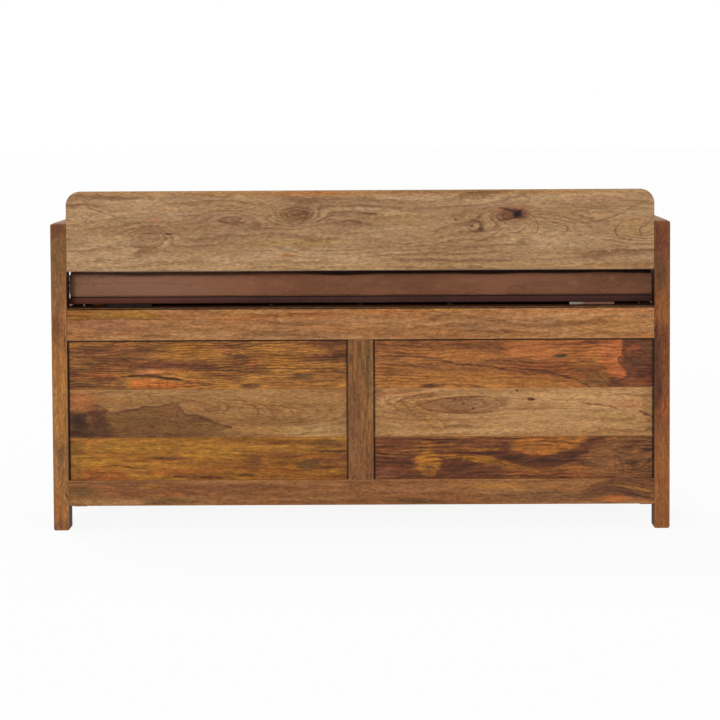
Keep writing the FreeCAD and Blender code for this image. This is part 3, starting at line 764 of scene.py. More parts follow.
@dataclass(frozen=True)
class WoodFinish:
    """Oiled wood of one board: its ground colours, the oil's tint, its lines and its marks."""

    pale: Colour
    deep: Colour
    warm: Colour
    seed: float
    oil: Colour = (1.0, 1.0, 1.0, 1.0)
    grain: Grain = Grain.ALONG_X
    line: Colour = tone(150, 112, 88)
    lines: float = 55.0
    wander: float = 5.0
    late: float = 0.4
    streak: float = 0.45
    curl: float = 0.05
    roughness: float = 0.6
    drift: float = 26.0
    specular: float = 0.15
    marks: tuple = ()

    def material(self, name: str, low: Vector, high: Vector) -> bpy.types.Material:
        """Builds the board's material.

        Args:
            name: the material's name.
            low: the board's lowest corner.
            high: its highest corner.

        Returns:
            The material.
        """
        material, t, shader, here = new_material(name)
        order, axes = self.grain.value, t.axes(here)
        place = t.join({i: axes[axis] for i, axis in enumerate(order)})
        middle = [(low[axis] + high[axis]) / 2 for axis in order]
        half = [(high[axis] - low[axis]) / 2 for axis in order]
        fibres = t.group(Effects.fibres(), Place=place, Shift=NOISE_SHIFT, Seed=self.seed)

        along, across = (t.math("DIVIDE", axes[axis], MM) for axis in order[:2])
        straight = t.join({0: along, 1: across})
        along = t.blend(fibres["Wave"], self.drift, along)
        across = t.blend(fibres["Rough"], self.drift * 0.36, across)
        coat = Coat(t, straight, t.join({0: along, 1: across}), along, across, fibres["Rough"],
                    fibres["Wave"], self.pale)
        self.lay(coat, lambda mark: isinstance(mark, Knot))
        figure = t.group(Effects.figure(), Place=fibres["Bent"], Lines=self.lines, Wander=self.wander,
                         Lift=coat.lift)
        ground = t.mix(t.span(figure["Bands"], 0.34, 0.64), self.pale, self.deep)
        coat.colour = t.mix(t.span(figure["Warm"], 0.5, 0.68, 0.0, 0.6), ground, self.warm)
        self.lay(coat, lambda mark: isinstance(mark, (Stain, Area)))
        coat.colour = t.mix(t.times(figure["Late"], self.late), coat.colour,
                            t.mix(1.0, coat.colour, self.line, "MULTIPLY"))
        self.lay(coat, lambda mark: isinstance(mark, Vein) and not mark.open)
        shade = t.times(self.shade(t, fibres["Streak"], 0.28, 0.72, self.streak),
                        self.shade(t, fibres["Fibre"], 0.3, 0.7, 0.5))
        shade = t.times(shade, self.shade(t, fibres["Curl"], 0.36, 0.64, self.curl))
        shade = t.times(shade, t.span(fibres["Pores"], 0.0, 1.0, 1.0, 0.76))
        coat.colour = t.scaled(coat.colour, shade)
        # The painted shade borders and the open cracks go on after the shading.
        self.lay(coat, lambda mark: isinstance(mark, Recess) or isinstance(mark, Vein) and mark.open > 0)
        wear = t.group(Effects.edge_wear(), Place=place, Middle=middle, Half=half)[0]
        worn = t.mix(t.times(wear, 0.22), coat.colour, self.pale)

        rough = t.blend(fibres["Streak"], 0.16, self.roughness - 0.08)
        rough = t.blend(wear, -0.08, t.blend(fibres["Pores"], 0.12, rough))
        height = t.blend(fibres["Streak"], 0.5, t.times(fibres["Fibre"], 0.5))
        height = t.blend(figure["Late"], 0.25, t.blend(fibres["Pores"], -0.8, height))
        t.surface(shader, t.mix(1.0, worn, self.oil, "MULTIPLY"), rough, t.blend(coat.gap, -5.0, height),
                  (0.35, 0.0006), self.specular)
        return material

    def lay(self, coat: Coat, wanted: Callable[[object], bool]) -> None:
        """Lays those of the marks that are wanted."""
        for mark in self.marks:
            if wanted(mark):
                mark.lay(coat)

    @staticmethod
    def shade(t: Tree, value: Socket, low: float, high: float, depth: float) -> Socket:
        """Turns a noise into a factor that darkens by the depth, and lightens by two thirds of it."""
        return t.span(value, low, high, 1.0 - depth * 0.6, 1.0 + depth * 0.4)


def stains(*rows: tuple) -> tuple[Stain, ...]:
    """Makes a stain of each row."""
    return tuple(Stain(*row) for row in rows)


def knots(*rows: tuple) -> tuple[Knot, ...]:
    """Makes a knot of each row."""
    return tuple(Knot(*row) for row in rows)


def veins(*rows: tuple) -> tuple[Vein, ...]:
    """Makes a vein of each row."""
    return tuple(Vein(*row) for row in rows)

# The colours of the wood, as they are seen: named once, used on many boards.
SOOT = tone(28, 19, 16)
PITCH = tone(46, 27, 22)
BARK = tone(66, 40, 29)
WINE = tone(84, 42, 32)
UMBER = tone(92, 58, 42)
RUSSET = tone(104, 60, 40)
WALNUT = tone(110, 74, 48)
MOSS = tone(98, 74, 44)
CHESTNUT = tone(124, 78, 48)
COCOA = tone(132, 92, 60)
OLIVE = tone(124, 92, 54)
FAWN = tone(146, 106, 76)
RUST = tone(160, 90, 50)
AMBER = tone(182, 108, 54)
HONEY = tone(170, 118, 62)
OCHRE = tone(168, 116, 46)
GOLD = tone(184, 128, 62)
PEACH = tone(184, 122, 80)
ROSE = tone(172, 118, 88)
SAND = tone(176, 138, 98)
STRAW = tone(172, 136, 82)
CREAM = tone(190, 156, 112)

BACKREST = WoodFinish(
    tone(180, 143, 105), tone(158, 119, 84), tone(176, 134, 92), 1.3, lines=64, wander=5.5, late=0.55,
    streak=0.2, drift=9, roughness=0.64, oil=(0.97, 0.99, 0.97, 1),
    marks=(
        *knots((512, 556, 26, 9, 3.2), (374, 526, 36, 16, -4.4), (112, 560, 34, 14, 4.4),
        (-270, 560, 36, 13, -3.6), (-330, 540, 60, 20, -4.2), (-500, 534, 46, 18, 3.6),
        (60, 500, 90, 16, 1.6), (230, 560, 50, 16, -2.6), (-90, 520, 70, 20, 2.2)),
        *stains((0, 601, 560, 4.5, HONEY, 0.7), (96, 599, 80, 3, AMBER, 0.6), (-120, 597, 70, 2.5, ROSE, 0.7),
        (-150, 602, 110, 3, OLIVE, 0.5), (425, 594, 75, 4, OLIVE, 0.5), (374, 526, 29, 16, FAWN, 0.6, 0, 0.5),
        (364, 555, 15, 4.5, ROSE, 0.7), (230, 552, 90, 14, FAWN, 0.6, 6, 1.3),
        (118, 561, 36, 17, tone(146, 110, 72), 0.75, 0, 0.6), (111, 561, 25, 12, COCOA, 0.8, 0, 0.5, 0.2),
        (99, 561, 12, 8, WALNUT, 0.7), (20, 553, 50, 14, FAWN, 0.55), (108, 512, 88, 6, STRAW, 0.65),
        (129, 490, 18, 2.5, AMBER, 0.7), (-60, 556, 60, 9, STRAW, 0.5),
        (-206, 540, 14, 11, WALNUT, 0.8, 0, 0.5, 0.2), (-203, 541, 9, 7.5, SAND, 0.85, 0, 0.4, 0.2),
        (-216, 535, 6, 4.5, BARK, 0.7), (-199, 541, 3, 2.6, RUSSET, 0.9, 0, 0.3, 0.2),
        (-270, 564, 32, 16, tone(156, 106, 78), 0.8, 0, 0.7), (-262, 563, 20, 9, RUSSET, 0.7, -8, 1.8),
        (-284, 562, 15, 9, WINE, 0.7, 12, 1.8), (-280, 561, 8, 5.5, SOOT, 1.0, 8, 1.9, 0.4),
        (-480, 536, 40, 17, tone(170, 128, 80), 0.5), (-440, 590, 60, 4, ROSE, 0.5),
        (-458, 469, 64, 4, HONEY, 0.65), (0, 471, 520, 7, tone(176, 136, 88), 0.5, 0, 1.2),
        (300, 500, 120, 10, tone(156, 114, 76), 0.5, 0, 1.2),
        (-120, 512, 120, 12, tone(158, 118, 82), 0.5, 0, 1.2)),
        *veins((2.6, SOOT, (347, 529, 333, 529), 0.95, 0.5, 1.0),
        (2.2, COCOA, (496, 584, 461, 569, 424, 558)), (1.8, FAWN, (500, 592, 461, 577, 424, 566)),
        (1.9, WALNUT, (403, 531, 392, 540, 376, 543, 358, 540, 346, 531)),
        (1.7, COCOA, (392, 527, 384, 536, 374, 538, 364, 534)),
        (1.8, COCOA, (403, 520, 390, 512, 376, 509, 360, 512, 348, 520)),
        (2.0, COCOA, (497, 483, 460, 479, 424, 476)), (3.5, AMBER, (171, 599, 90, 602, 20, 600), 0.5),
        (1.5, COCOA, (171, 593, 100, 594.5, 20, 593)), (2.2, WALNUT, (71, 482, 44, 481)),
        (2.6, BARK, (123, 561, 112, 561.5), 0.9, 0.5, 0.5),
        (1.8, WALNUT, (138, 566, 122, 573, 102, 573, 88, 566)),
        (1.6, CREAM, (122, 553, 113, 550, 104, 553), 0.5), (2.8, BARK, (-2, 564, -30, 564), 0.9, 0.5, 1.0),
        (3.2, BARK, (-166, 553, -171, 553), 0.9, 0, 0.5),
        (3.2, SOOT, (-245, 574, -267, 568, -287, 566), 0.9, 1, 0.8),
        (3.4, SOOT, (-272, 553, -280, 562, -288, 570), 0.95, 1, 1.0),
        (3.0, BARK, (-243, 549, -263, 553, -280, 555), 0.85, 1, 0.4),
        (2.8, WALNUT, (-330, 519, -353, 526, -369, 534, -353, 543, -330, 553, -308, 563), 0.9),
        (2.6, WALNUT, (-300, 523, -313, 529, -315, 543, -305, 558), 0.9),
        (2.6, WALNUT, (-263, 530, -280, 529, -297, 546), 0.8),
        (2.6, WALNUT, (-193, 519, -213, 515, -233, 523, -257, 538), 0.85),
        (2.6, COCOA, (-343, 554, -373, 548, -400, 545, -430, 551, -457, 559, -493, 578, -520, 586), 0.9),
        (3.0, WALNUT, (-490, 512, -463, 519, -453, 529, -460, 543, -480, 549, -500, 554), 0.95),
        (3.0, WALNUT, (-520, 519, -503, 521, -496, 534, -510, 544, -517, 551), 0.95),
        (2.0, RUST, (-363, 600, -387, 600), 0.6), (2.0, RUST, (-363, 591, -387, 591), 0.5),
        (2.0, COCOA, (-380, 586, -447, 586)), (1.5, FAWN, (300, 502, 120, 498, -60, 503)),
        (1.5, FAWN, (60, 492, -80, 490, -200, 488)), (1.5, COCOA, (-100, 497, -200, 498, -300, 500), 0.5),
        (1.5, COCOA, (-120, 480, -270, 481, -420, 484), 0.5), (1.5, FAWN, (150, 580, 100, 578, 60, 572))),
    ))

TOP_RAIL = WoodFinish(
    tone(180, 131, 88), tone(158, 107, 66), tone(176, 118, 74), 4.1, lines=60, wander=3.6, late=0.45,
    streak=0.42, specular=0.03, oil=(0.91, 0.89, 0.84, 1),
    marks=(
        # Painted shade along the rail's top edge, under the lid.
        Recess((-600, 200), (600, 398), 4.1, 0.96),
        *stains((-390, 368, 210, 30, tone(196, 144, 98), 0.6, 0, 1.2),
        (440, 368, 150, 30, tone(150, 100, 62), 0.3, 0, 1.2)),
        Area(tone(160, 112, 52), (526, 402, 430, 402, 395, 397, 345, 379), (526, 378.5, 430, 378, 345, 377.5),
         0.85),
        *stains((500, 389, 26, 9, RUST, 0.5), (392, 389, 30, 7, GOLD, 0.6),
        (450, 366, 80, 11, ROSE, 0.6, 0, 1.1), (318, 387, 40, 9, tone(164, 104, 64), 0.6),
        (215, 391, 36, 5, GOLD, 0.6), (215, 380, 60, 5, AMBER, 0.5), (90, 384, 60, 8, AMBER, 0.4),
        (-60, 391, 80, 5, AMBER, 0.55), (-160, 394, 50, 4, GOLD, 0.75), (60, 373, 52, 3, ROSE, 0.7),
        (-10, 372, 14, 3, PEACH, 0.8), (-220, 366, 50, 13, FAWN, 0.6, 0, 1.3),
        (-390, 390, 150, 6, tone(186, 124, 76), 0.7), (-330, 366, 60, 10, FAWN, 0.5),
        (-502, 343, 20, 3, AMBER, 0.8), (-430, 362, 70, 16, HONEY, 0.4, 0, 1.2),
        (-490, 388, 34, 8, PEACH, 0.5), (120, 350, 90, 8, FAWN, 0.45)),
        *veins((1.8, WALNUT, (526, 378.5, 430, 378, 345, 377.5), 0.8, 1),
        (1.8, CHESTNUT, (410, 400, 395, 396, 345, 378)), (1.6, CHESTNUT, (345, 377, 270, 378, 180, 374), 0.6),
        (1.5, CHESTNUT, (250, 386, 215, 385, 180, 386)), (1.8, CHESTNUT, (200, 374, 110, 367, 20, 366)),
        (1.6, COCOA, (60, 352, 0, 349, -90, 350), 0.6), (1.6, PEACH, (-245, 357, -275, 357), 0.6),
        (1.8, CHESTNUT, (-232, 355, -290, 353, -340, 352)), (3.0, WALNUT, (-234, 372, -238, 372)),
        (3.0, WALNUT, (-258, 374, -262, 374)), (1.8, CREAM, (-300, 384, -420, 383, -520, 382), 0.55),
        (1.8, CHESTNUT, (-420, 379, -470, 380, -520, 379)), (1.6, CREAM, (350, 350, 300, 352, 250, 356), 0.5),
        (1.6, CREAM, (480, 352, 440, 347, 420, 348), 0.6),
        (1.6, COCOA, (-20, 361, -130, 364, -190, 361), 0.5), (1.5, COCOA, (160, 392, 100, 394, 30, 391), 0.5),
        (1.5, COCOA, (480, 360, 400, 362, 330, 366, 300, 372), 0.5), (2.0, RUST, (520, 350, 470, 344), 0.6)),
    ))

BOTTOM_RAIL = WoodFinish(
    tone(156, 110, 70), tone(130, 84, 52), tone(160, 104, 62), 7.7, lines=60, wander=4, late=0.35,
    streak=0.42, oil=(1.05, 0.98, 0.78, 1),
    marks=(
        *knots((-7, 76, 18, 12, 1.5), (-440, 70, 70, 22, -3.0)),
        *stains((505, 70, 26, 11, MOSS, 0.75), (400, 86, 34, 3, WINE, 0.6), (370, 79, 27, 4, OCHRE, 0.6),
        (331, 64, 16, 4, AMBER, 0.7), (340, 53, 46, 5, MOSS, 0.7, 0, 1.2),
        (300, 70, 80, 8, CHESTNUT, 0.6, 0, 1.2), (450, 50, 60, 4, SAND, 0.6), (440, 62, 40, 5, WALNUT, 0.6),
        (70, 54, 30, 4, OLIVE, 0.6), (-100, 51, 50, 4, MOSS, 0.7), (-96, 70, 40, 9, ROSE, 0.35),
        (-150, 60, 90, 8, CHESTNUT, 0.5, 0, 1.2), (-240, 78, 52, 5, GOLD, 0.55),
        (-320, 57, 80, 10, tone(116, 82, 54), 0.75)),
        Area(tone(100, 62, 42), (-390, 66, -430, 84, -470, 91, -526, 92), (-390, 52, -430, 58, -470, 56, -526,
         50)), Stain(-450, 54, 22, 6, AMBER, 0.75),
        *veins((3.0, HONEY, (-436, 77, -470, 75, -500, 70, -526, 62), 0.8, 1.5),
        (4.0, BARK, (-436, 69, -480, 63, -526, 53), 0.7, 2), (1.8, BARK, (524, 87, 470, 84), 0.6),
        (1.8, UMBER, (420, 51, 360, 49, 300, 50)), (2.2, BARK, (-60, 51, -100, 50, -135, 51), 0.8),
        (1.6, WALNUT, (250, 80, 190, 78, 120, 79)), (1.6, WALNUT, (440, 63, 390, 60, 330, 62)),
        (2.0, RUSSET, (-150, 88, -200, 87, -260, 88), 0.7),
        (2.0, UMBER, (-206, 62, -260, 60, -330, 64, -400, 68), 0.7),
        (1.6, WALNUT, (100, 70, 30, 66, -60, 68)), (1.6, WALNUT, (300, 76, 200, 70, 110, 62)),
        (2.0, RUSSET, (500, 78, 450, 74, 400, 72, 360, 66), 0.6)),
    ))

STILE = WoodFinish(
    tone(148, 104, 68), tone(124, 82, 52), tone(150, 100, 64), 9.2, grain=Grain.ALONG_Z, lines=110,
    wander=3.4, late=0.45, streak=0.4, oil=(0.88, 0.83, 0.65, 1),
    marks=(
        *knots((110, 8, 22, 8, 2.4), (100, -12, 20, 6, 1.8)),
        *stains((305, -14, 55, 5, MOSS, 0.7), (250, -19, 60, 4, SAND, 0.5), (326, 2, 16, 4, RUSSET, 0.7),
        (300, 14, 40, 6, HONEY, 0.4), (200, 12, 40, 8, COCOA, 0.5), (140, 14, 50, 8, ROSE, 0.3),
        (200, -14, 50, 5, HONEY, 0.4)),
        *veins((2.2, UMBER, (330, 17, 260, 13, 200, 4)), (2.4, MOSS, (330, -6, 290, -10, 210, -13), 0.8),
        (2.2, MOSS, (338, 2, 290, -3, 255, -9)), (2.0, UMBER, (320, -18, 270, -18, 215, -20), 0.7),
        (3.0, BARK, (312, 19, 300, 19)), (1.8, WALNUT, (200, 2, 160, 1, 130, -2)),
        (1.8, CHESTNUT, (104, 2, 128, 4, 134, 9, 126, 14, 100, 18)), (1.8, WALNUT, (250, 6, 220, 3, 190, 6)),
        (1.8, WALNUT, (290, 18, 240, 19, 190, 17)), (1.6, WALNUT, (180, -8, 140, -10, 100, -7))),
    ))

# Painted shade round each bay, where the planks sit back from the frame.
LEFT_BAY = Recess((22.5, 85), (522, 340))
RIGHT_BAY = Recess((-522, 85), (-22.5, 340))
SIDE_BAY = Recess((-146, 85), (146, 340))

LEFT_UPPER = WoodFinish(
    tone(174, 124, 62), tone(112, 70, 42), tone(184, 128, 58), 11.4, lines=190, wander=7, late=0.75,
    streak=0.8, line=tone(118, 80, 60), oil=(1.10, 0.97, 0.80, 1),
    marks=(
        LEFT_BAY,
        *stains((500, 312, 24, 20, COCOA, 0.5), (455, 318, 60, 12, CHESTNUT, 0.5),
        (410, 300, 100, 10, RUSSET, 0.6), (418, 333, 17, 2.6, AMBER, 0.8), (399, 329, 12, 1.8, MOSS, 0.6),
        (318, 292, 80, 7, RUSSET, 0.6), (298, 322, 52, 14, OCHRE, 0.65), (290, 309.5, 23, 5, GOLD, 0.8),
        (249, 325, 13, 6, PEACH, 0.6), (206, 298, 34, 15, CHESTNUT, 0.6, 12), (190, 296, 12, 6, AMBER, 0.5),
        (146, 300, 38, 14, OCHRE, 0.6), (140, 326, 34, 8, HONEY, 0.6), (40, 318, 22, 18, RUSSET, 0.6),
        (108, 276, 19, 4, MOSS, 0.7), (136, 264, 32, 8, HONEY, 0.6), (246, 266, 15, 5, GOLD, 0.6),
        (462, 276, 38, 3.4, AMBER, 0.75), (377, 282.5, 23, 4.6, PEACH, 0.85)),
        Area(UMBER, (524, 271, 470, 271, 420, 270), (524, 253, 470, 252, 420, 253), 0.6),
        Area(tone(182, 106, 50), (415, 264, 400, 270, 364, 270, 337, 266, 312, 258), (415, 257, 400, 254, 364,
         253, 337, 254, 312, 256), 0.92, 6),
        *stains((384, 262, 20, 5, tone(196, 122, 60), 0.7), (300, 262, 14, 7, RUST, 0.6),
        (276, 261, 15, 4, BARK, 0.7), (196, 257.5, 15, 4, BARK, 0.9), (66, 334, 46, 4, WINE, 0.7),
        (60, 282, 40, 6, UMBER, 0.4)),
        *veins((5.2, PITCH, (426, 274, 414, 276, 390, 276.6, 366, 275, 344, 272.5, 315, 269), 1, 0.4, 1.0),
        (4.0, WINE, (528, 277, 480, 275, 428, 273), 0.6), (3.5, RUSSET, (350, 255, 345, 262, 347, 270), 0.5),
        (3.5, RUSSET, (362, 254, 358, 262, 360, 270), 0.5),
        (3.5, RUSSET, (334, 254, 331, 260, 333, 267), 0.5),
        (3.5, RUSSET, (375, 254, 372, 260, 373, 266), 0.4), (2.6, BARK, (310, 292, 240, 285, 160, 282), 0.7),
        (2.4, WINE, (500, 297, 430, 296, 360, 291), 0.7), (2.6, BARK, (260, 317, 225, 313, 190, 308), 0.7),
        (2.6, UMBER, (520, 312, 440, 308, 350, 304), 0.6), (2.6, UMBER, (120, 318, 80, 314, 30, 315), 0.6),
        (2.6, BARK, (120, 292, 80, 288, 30, 291), 0.6), (2.4, UMBER, (180, 272, 120, 270, 60, 268), 0.5)),
    ))

LEFT_MIDDLE = WoodFinish(
    tone(176, 134, 90), tone(150, 110, 70), tone(170, 124, 76), 14.8, lines=46, wander=4, late=0.5,
    streak=0.26, curl=0.1, drift=14, oil=(0.88, 0.78, 0.60, 1), line=tone(158, 120, 96),
    marks=(
        LEFT_BAY,
        *knots((262, 215, 60, 15, 3.6), (150, 208, 96, 20, 4.6)),
        *stains((270, 246, 240, 7, SAND, 0.5), (60, 196, 36, 14, SAND, 0.5), (79, 177, 56, 12, CREAM, 0.8),
        (229, 204, 22, 5, STRAW, 0.7)),
        Area(tone(128, 90, 54), (526, 208, 500, 209, 484, 216, 474, 225, 461, 220, 449, 211, 441, 210, 421,
         214, 401, 216, 387, 221, 361, 220, 344, 225, 331, 225, 324, 217, 311, 207, 291, 205, 271, 197, 257,
         190, 237, 185, 232, 183.5), (526, 158, 320, 158, 300, 161, 294, 165, 286, 170, 267, 176, 247, 180,
         232, 182.5), 0.92, 4, 1.4),
        *stains((385, 196, 60, 6, OLIVE, 0.7), (330, 198, 30, 10, tone(140, 100, 66), 0.5),
        (320, 172, 70, 7, WALNUT, 0.7), (420, 172, 60, 9, WALNUT, 0.6), (296, 196, 26, 5, WALNUT, 0.6)),
        Area(UMBER, (526, 214, 496, 222, 480, 226, 462, 205, 444, 186), (526, 160, 480, 160, 450, 166, 440,
         176), 0.75, 14, 5),
        *stains((502, 198, 16, 15, PITCH, 0.85, 20, 2.6, 0.8), (504, 182, 14, 8, BARK, 0.8, -10, 2.4, 0.6),
        (480, 216, 12, 10, WINE, 0.8, 30, 2.2), (474, 192, 10, 8, RUST, 0.3), (486, 200, 5, 9, FAWN, 0.5),
        (465, 202, 8, 16, WINE, 0.7, 24, 2.0), (500, 172, 26, 9, BARK, 0.5),
        (462, 186, 14, 14, BARK, 0.4, 30), (503, 231, 32, 18, tone(176, 114, 72), 0.95, 8, 1.2, 0.5),
        (500, 238, 24, 9, PEACH, 0.4), (265, 214.5, 13, 4.6, WALNUT, 0.7),
        (280, 215, 30, 9, tone(150, 106, 70), 0.5)),
        *veins(
        (3.4, UMBER, (484, 234, 474, 226, 461, 219, 449, 211, 441, 210, 421, 214, 401, 216, 387, 221, 361,
         220, 344, 225, 331, 225, 324, 217, 311, 207, 291, 205, 271, 197, 257, 190, 237, 185, 230, 183), 0.9),
        (3.0, WALNUT, (294, 165, 286, 170, 267, 176, 247, 180, 234, 182), 0.6),
        (4.4, BARK, (520, 210, 498, 205, 478, 207), 0.8), (4.0, BARK, (474, 210, 464, 190, 450, 168), 0.7),
        (4.0, BARK, (488, 216, 478, 196, 470, 176), 0.5),
        (4.0, UMBER, (310, 206, 288, 203, 266, 197, 250, 193), 0.7), (6.0, WINE, (240, 185, 230, 183), 0.9),
        (3.6, UMBER, (322, 196, 328, 206, 326, 217), 0.6),
        (3.6, UMBER, (297, 197, 284, 197, 271, 195, 250, 188), 0.7),
        (3.2, UMBER, (388, 202, 378, 190, 368, 182), 0.5), (3.2, UMBER, (332, 198, 326, 188, 322, 180), 0.5),
        (5.0, CHESTNUT, (338, 224, 314, 230, 290, 228, 262, 218), 0.6),
        (4.4, WALNUT, (300, 232, 262, 230, 236, 222, 240, 212, 262, 207), 0.7),
        (4.4, CHESTNUT, (230, 236, 200, 226, 183, 210, 192, 198, 206, 192), 0.65),
        (4.4, CHESTNUT, (200, 232, 172, 222, 157, 207, 164, 196, 180, 190), 0.55),
        (4.4, CHESTNUT, (170, 232, 138, 222, 121, 209, 130, 198, 150, 192), 0.55),
        (6.0, FAWN, (460, 250, 452, 234, 440, 218), 0.5), (6.0, FAWN, (424, 250, 414, 234, 404, 222), 0.5),
        (6.0, FAWN, (390, 248, 376, 238, 366, 226), 0.4),
        (5.0, COCOA, (380, 238, 330, 240, 280, 241, 220, 238), 0.4)),
    ))

LEFT_LOWER = WoodFinish(
    tone(182, 132, 56), tone(150, 98, 42), tone(172, 108, 48), 17.5, lines=90, wander=5, late=0.55,
    streak=0.6, oil=(0.92, 0.82, 0.60, 1),
    marks=(
        LEFT_BAY,
        *stains((430, 150, 110, 12, tone(188, 142, 62), 0.5), (339, 128.5, 30, 3.4, RUSSET, 0.8)),
        Area(RUST, (506, 106, 460, 109.5, 412, 105), (506, 88, 460, 87, 412, 90), 0.7, 12, 4),
        *stains((330, 104, 80, 7, RUST, 0.5), (408, 103.5, 20, 5, GOLD, 0.8),
        (250, 116, 70, 12, tone(158, 104, 48), 0.5)),
        Area(CHESTNUT, (206, 128, 192, 134, 184, 132, 175, 124), (206, 106, 192, 100, 184, 104, 175, 112),
         0.7, 10, 3),
        *stains((150, 134, 60, 6, CHESTNUT, 0.5), (150, 148, 60, 6, HONEY, 0.5), (97, 117, 19, 9, MOSS, 0.7),
        (66, 119, 22, 12, UMBER, 0.7), (62, 153, 40, 8, UMBER, 0.7), (34, 125, 16, 38, CHESTNUT, 0.6),
        (60, 100, 44, 7, OCHRE, 0.5), (512, 130, 14, 36, OLIVE, 0.4), (290, 95, 60, 4, RUSSET, 0.6)),
        *veins((3.0, RUSSET, (456, 115, 414, 114, 391, 110, 372, 112), 0.8),
        (4.6, WINE, (337, 95.5, 290, 95, 247, 93), 0.8), (4.0, BARK, (224, 98, 208, 97.5, 191, 97), 0.85),
        (5.0, BARK, (92, 141, 54, 140, 20, 138.5), 0.85),
        (3.4, CHESTNUT, (250, 142, 190, 139, 120, 134), 0.6),
        (3.4, RUSSET, (206, 152, 130, 154, 60, 153), 0.5),
        (3.0, CHESTNUT, (360, 118, 300, 121, 240, 118), 0.6),
        (3.0, RUST, (520, 158, 440, 156, 330, 159), 0.5)),
    ))

RIGHT_UPPER = WoodFinish(
    tone(176, 120, 66), tone(136, 82, 46), tone(182, 120, 62), 21.6, lines=150, wander=7, late=0.65,
    streak=0.65, line=tone(132, 88, 68), oil=(1.02, 0.90, 0.71, 1),
    marks=(
        RIGHT_BAY,
        *stains((-110, 328, 100, 8, CHESTNUT, 0.6), (-210, 326, 60, 6, UMBER, 0.5),
        (-60, 306, 40, 12, COCOA, 0.55), (-160, 289, 60, 8, UMBER, 0.55), (-70, 286, 50, 8, WALNUT, 0.5)),
        Area(HONEY, (-26, 273, -120, 276, -220, 275, -302, 268), (-26, 259, -120, 256, -220, 257, -302, 262),
         0.75, 12, 4),
        *stains((-126, 255.5, 22, 4, BARK, 0.85), (-340, 318, 84, 18, tone(178, 112, 66), 0.7),
        (-260, 300, 60, 8, COCOA, 0.4), (-330, 262, 60, 8, HONEY, 0.6), (-422, 264, 22, 13, OLIVE, 0.7)),
        Area(tone(100, 60, 42), (-462, 342, -462, 315, -456, 302, -458, 292, -466, 279, -446, 269, -440, 246),
         (-540, 342, -540, 300, -540, 246), 0.95, 7, 3),
        Area(tone(180, 106, 62), (-417, 342, -427, 315, -431, 295, -445, 279, -452, 266), (-470, 342, -468,
         315, -462, 302, -463, 292, -471, 279, -458, 266), 0.9, 7, 3),
        *stains((-438, 322, 12, 12, tone(190, 120, 78), 0.5),
        (-482, 320, 15, 6, tone(166, 94, 56), 0.85, -30), (-474, 308, 7, 12, BARK, 0.6, -15),
        (-509, 270, 16, 16, WINE, 0.75), (-500, 296, 18, 8, UMBER, 0.6), (-512, 322, 12, 14, WALNUT, 0.6),
        (-490, 262, 24, 6, RUST, 0.4), (-455, 262, 8, 8, MOSS, 0.5),
        (-355, 309.5, 13, 2.6, tone(78, 68, 52), 0.95, 0, 0.7, 0.3)),
        *veins(
        (3.4, BARK, (-26, 309, -87, 309, -120, 305, -163, 299, -193, 294, -233, 289, -267, 284, -297, 277,
         -314, 274), 0.85),
        (4.0, BARK, (-284, 284, -337, 279, -360, 272, -380, 267, -400, 259, -414, 252), 0.9),
        (3.0, MOSS, (-380, 283, -407, 274, -417, 264, -430, 252), 0.8),
        (3.0, MOSS, (-412, 284, -433, 265, -444, 250), 0.8),
        (2.6, RUSSET, (-303, 328, -360, 329, -421, 328), 0.7),
        (2.6, UMBER, (-225, 330, -245, 324, -268, 318), 0.7),
        (3.0, UMBER, (-152, 261, -190, 256, -222, 253), 0.8),
        (2.6, UMBER, (-26, 331, -90, 327, -160, 318), 0.6),
        (2.6, UMBER, (-30, 296, -80, 293, -140, 288), 0.6),
        (2.6, UMBER, (-30, 280, -70, 279, -120, 278), 0.6),
        (3.4, WINE, (-466, 342, -468, 318, -460, 302, -464, 290, -474, 279), 0.8),
        (3.0, RUST, (-436, 334, -440, 300, -452, 272), 0.5),
        (3.0, BARK, (-490, 330, -484, 300, -492, 262), 0.5)),
    ))

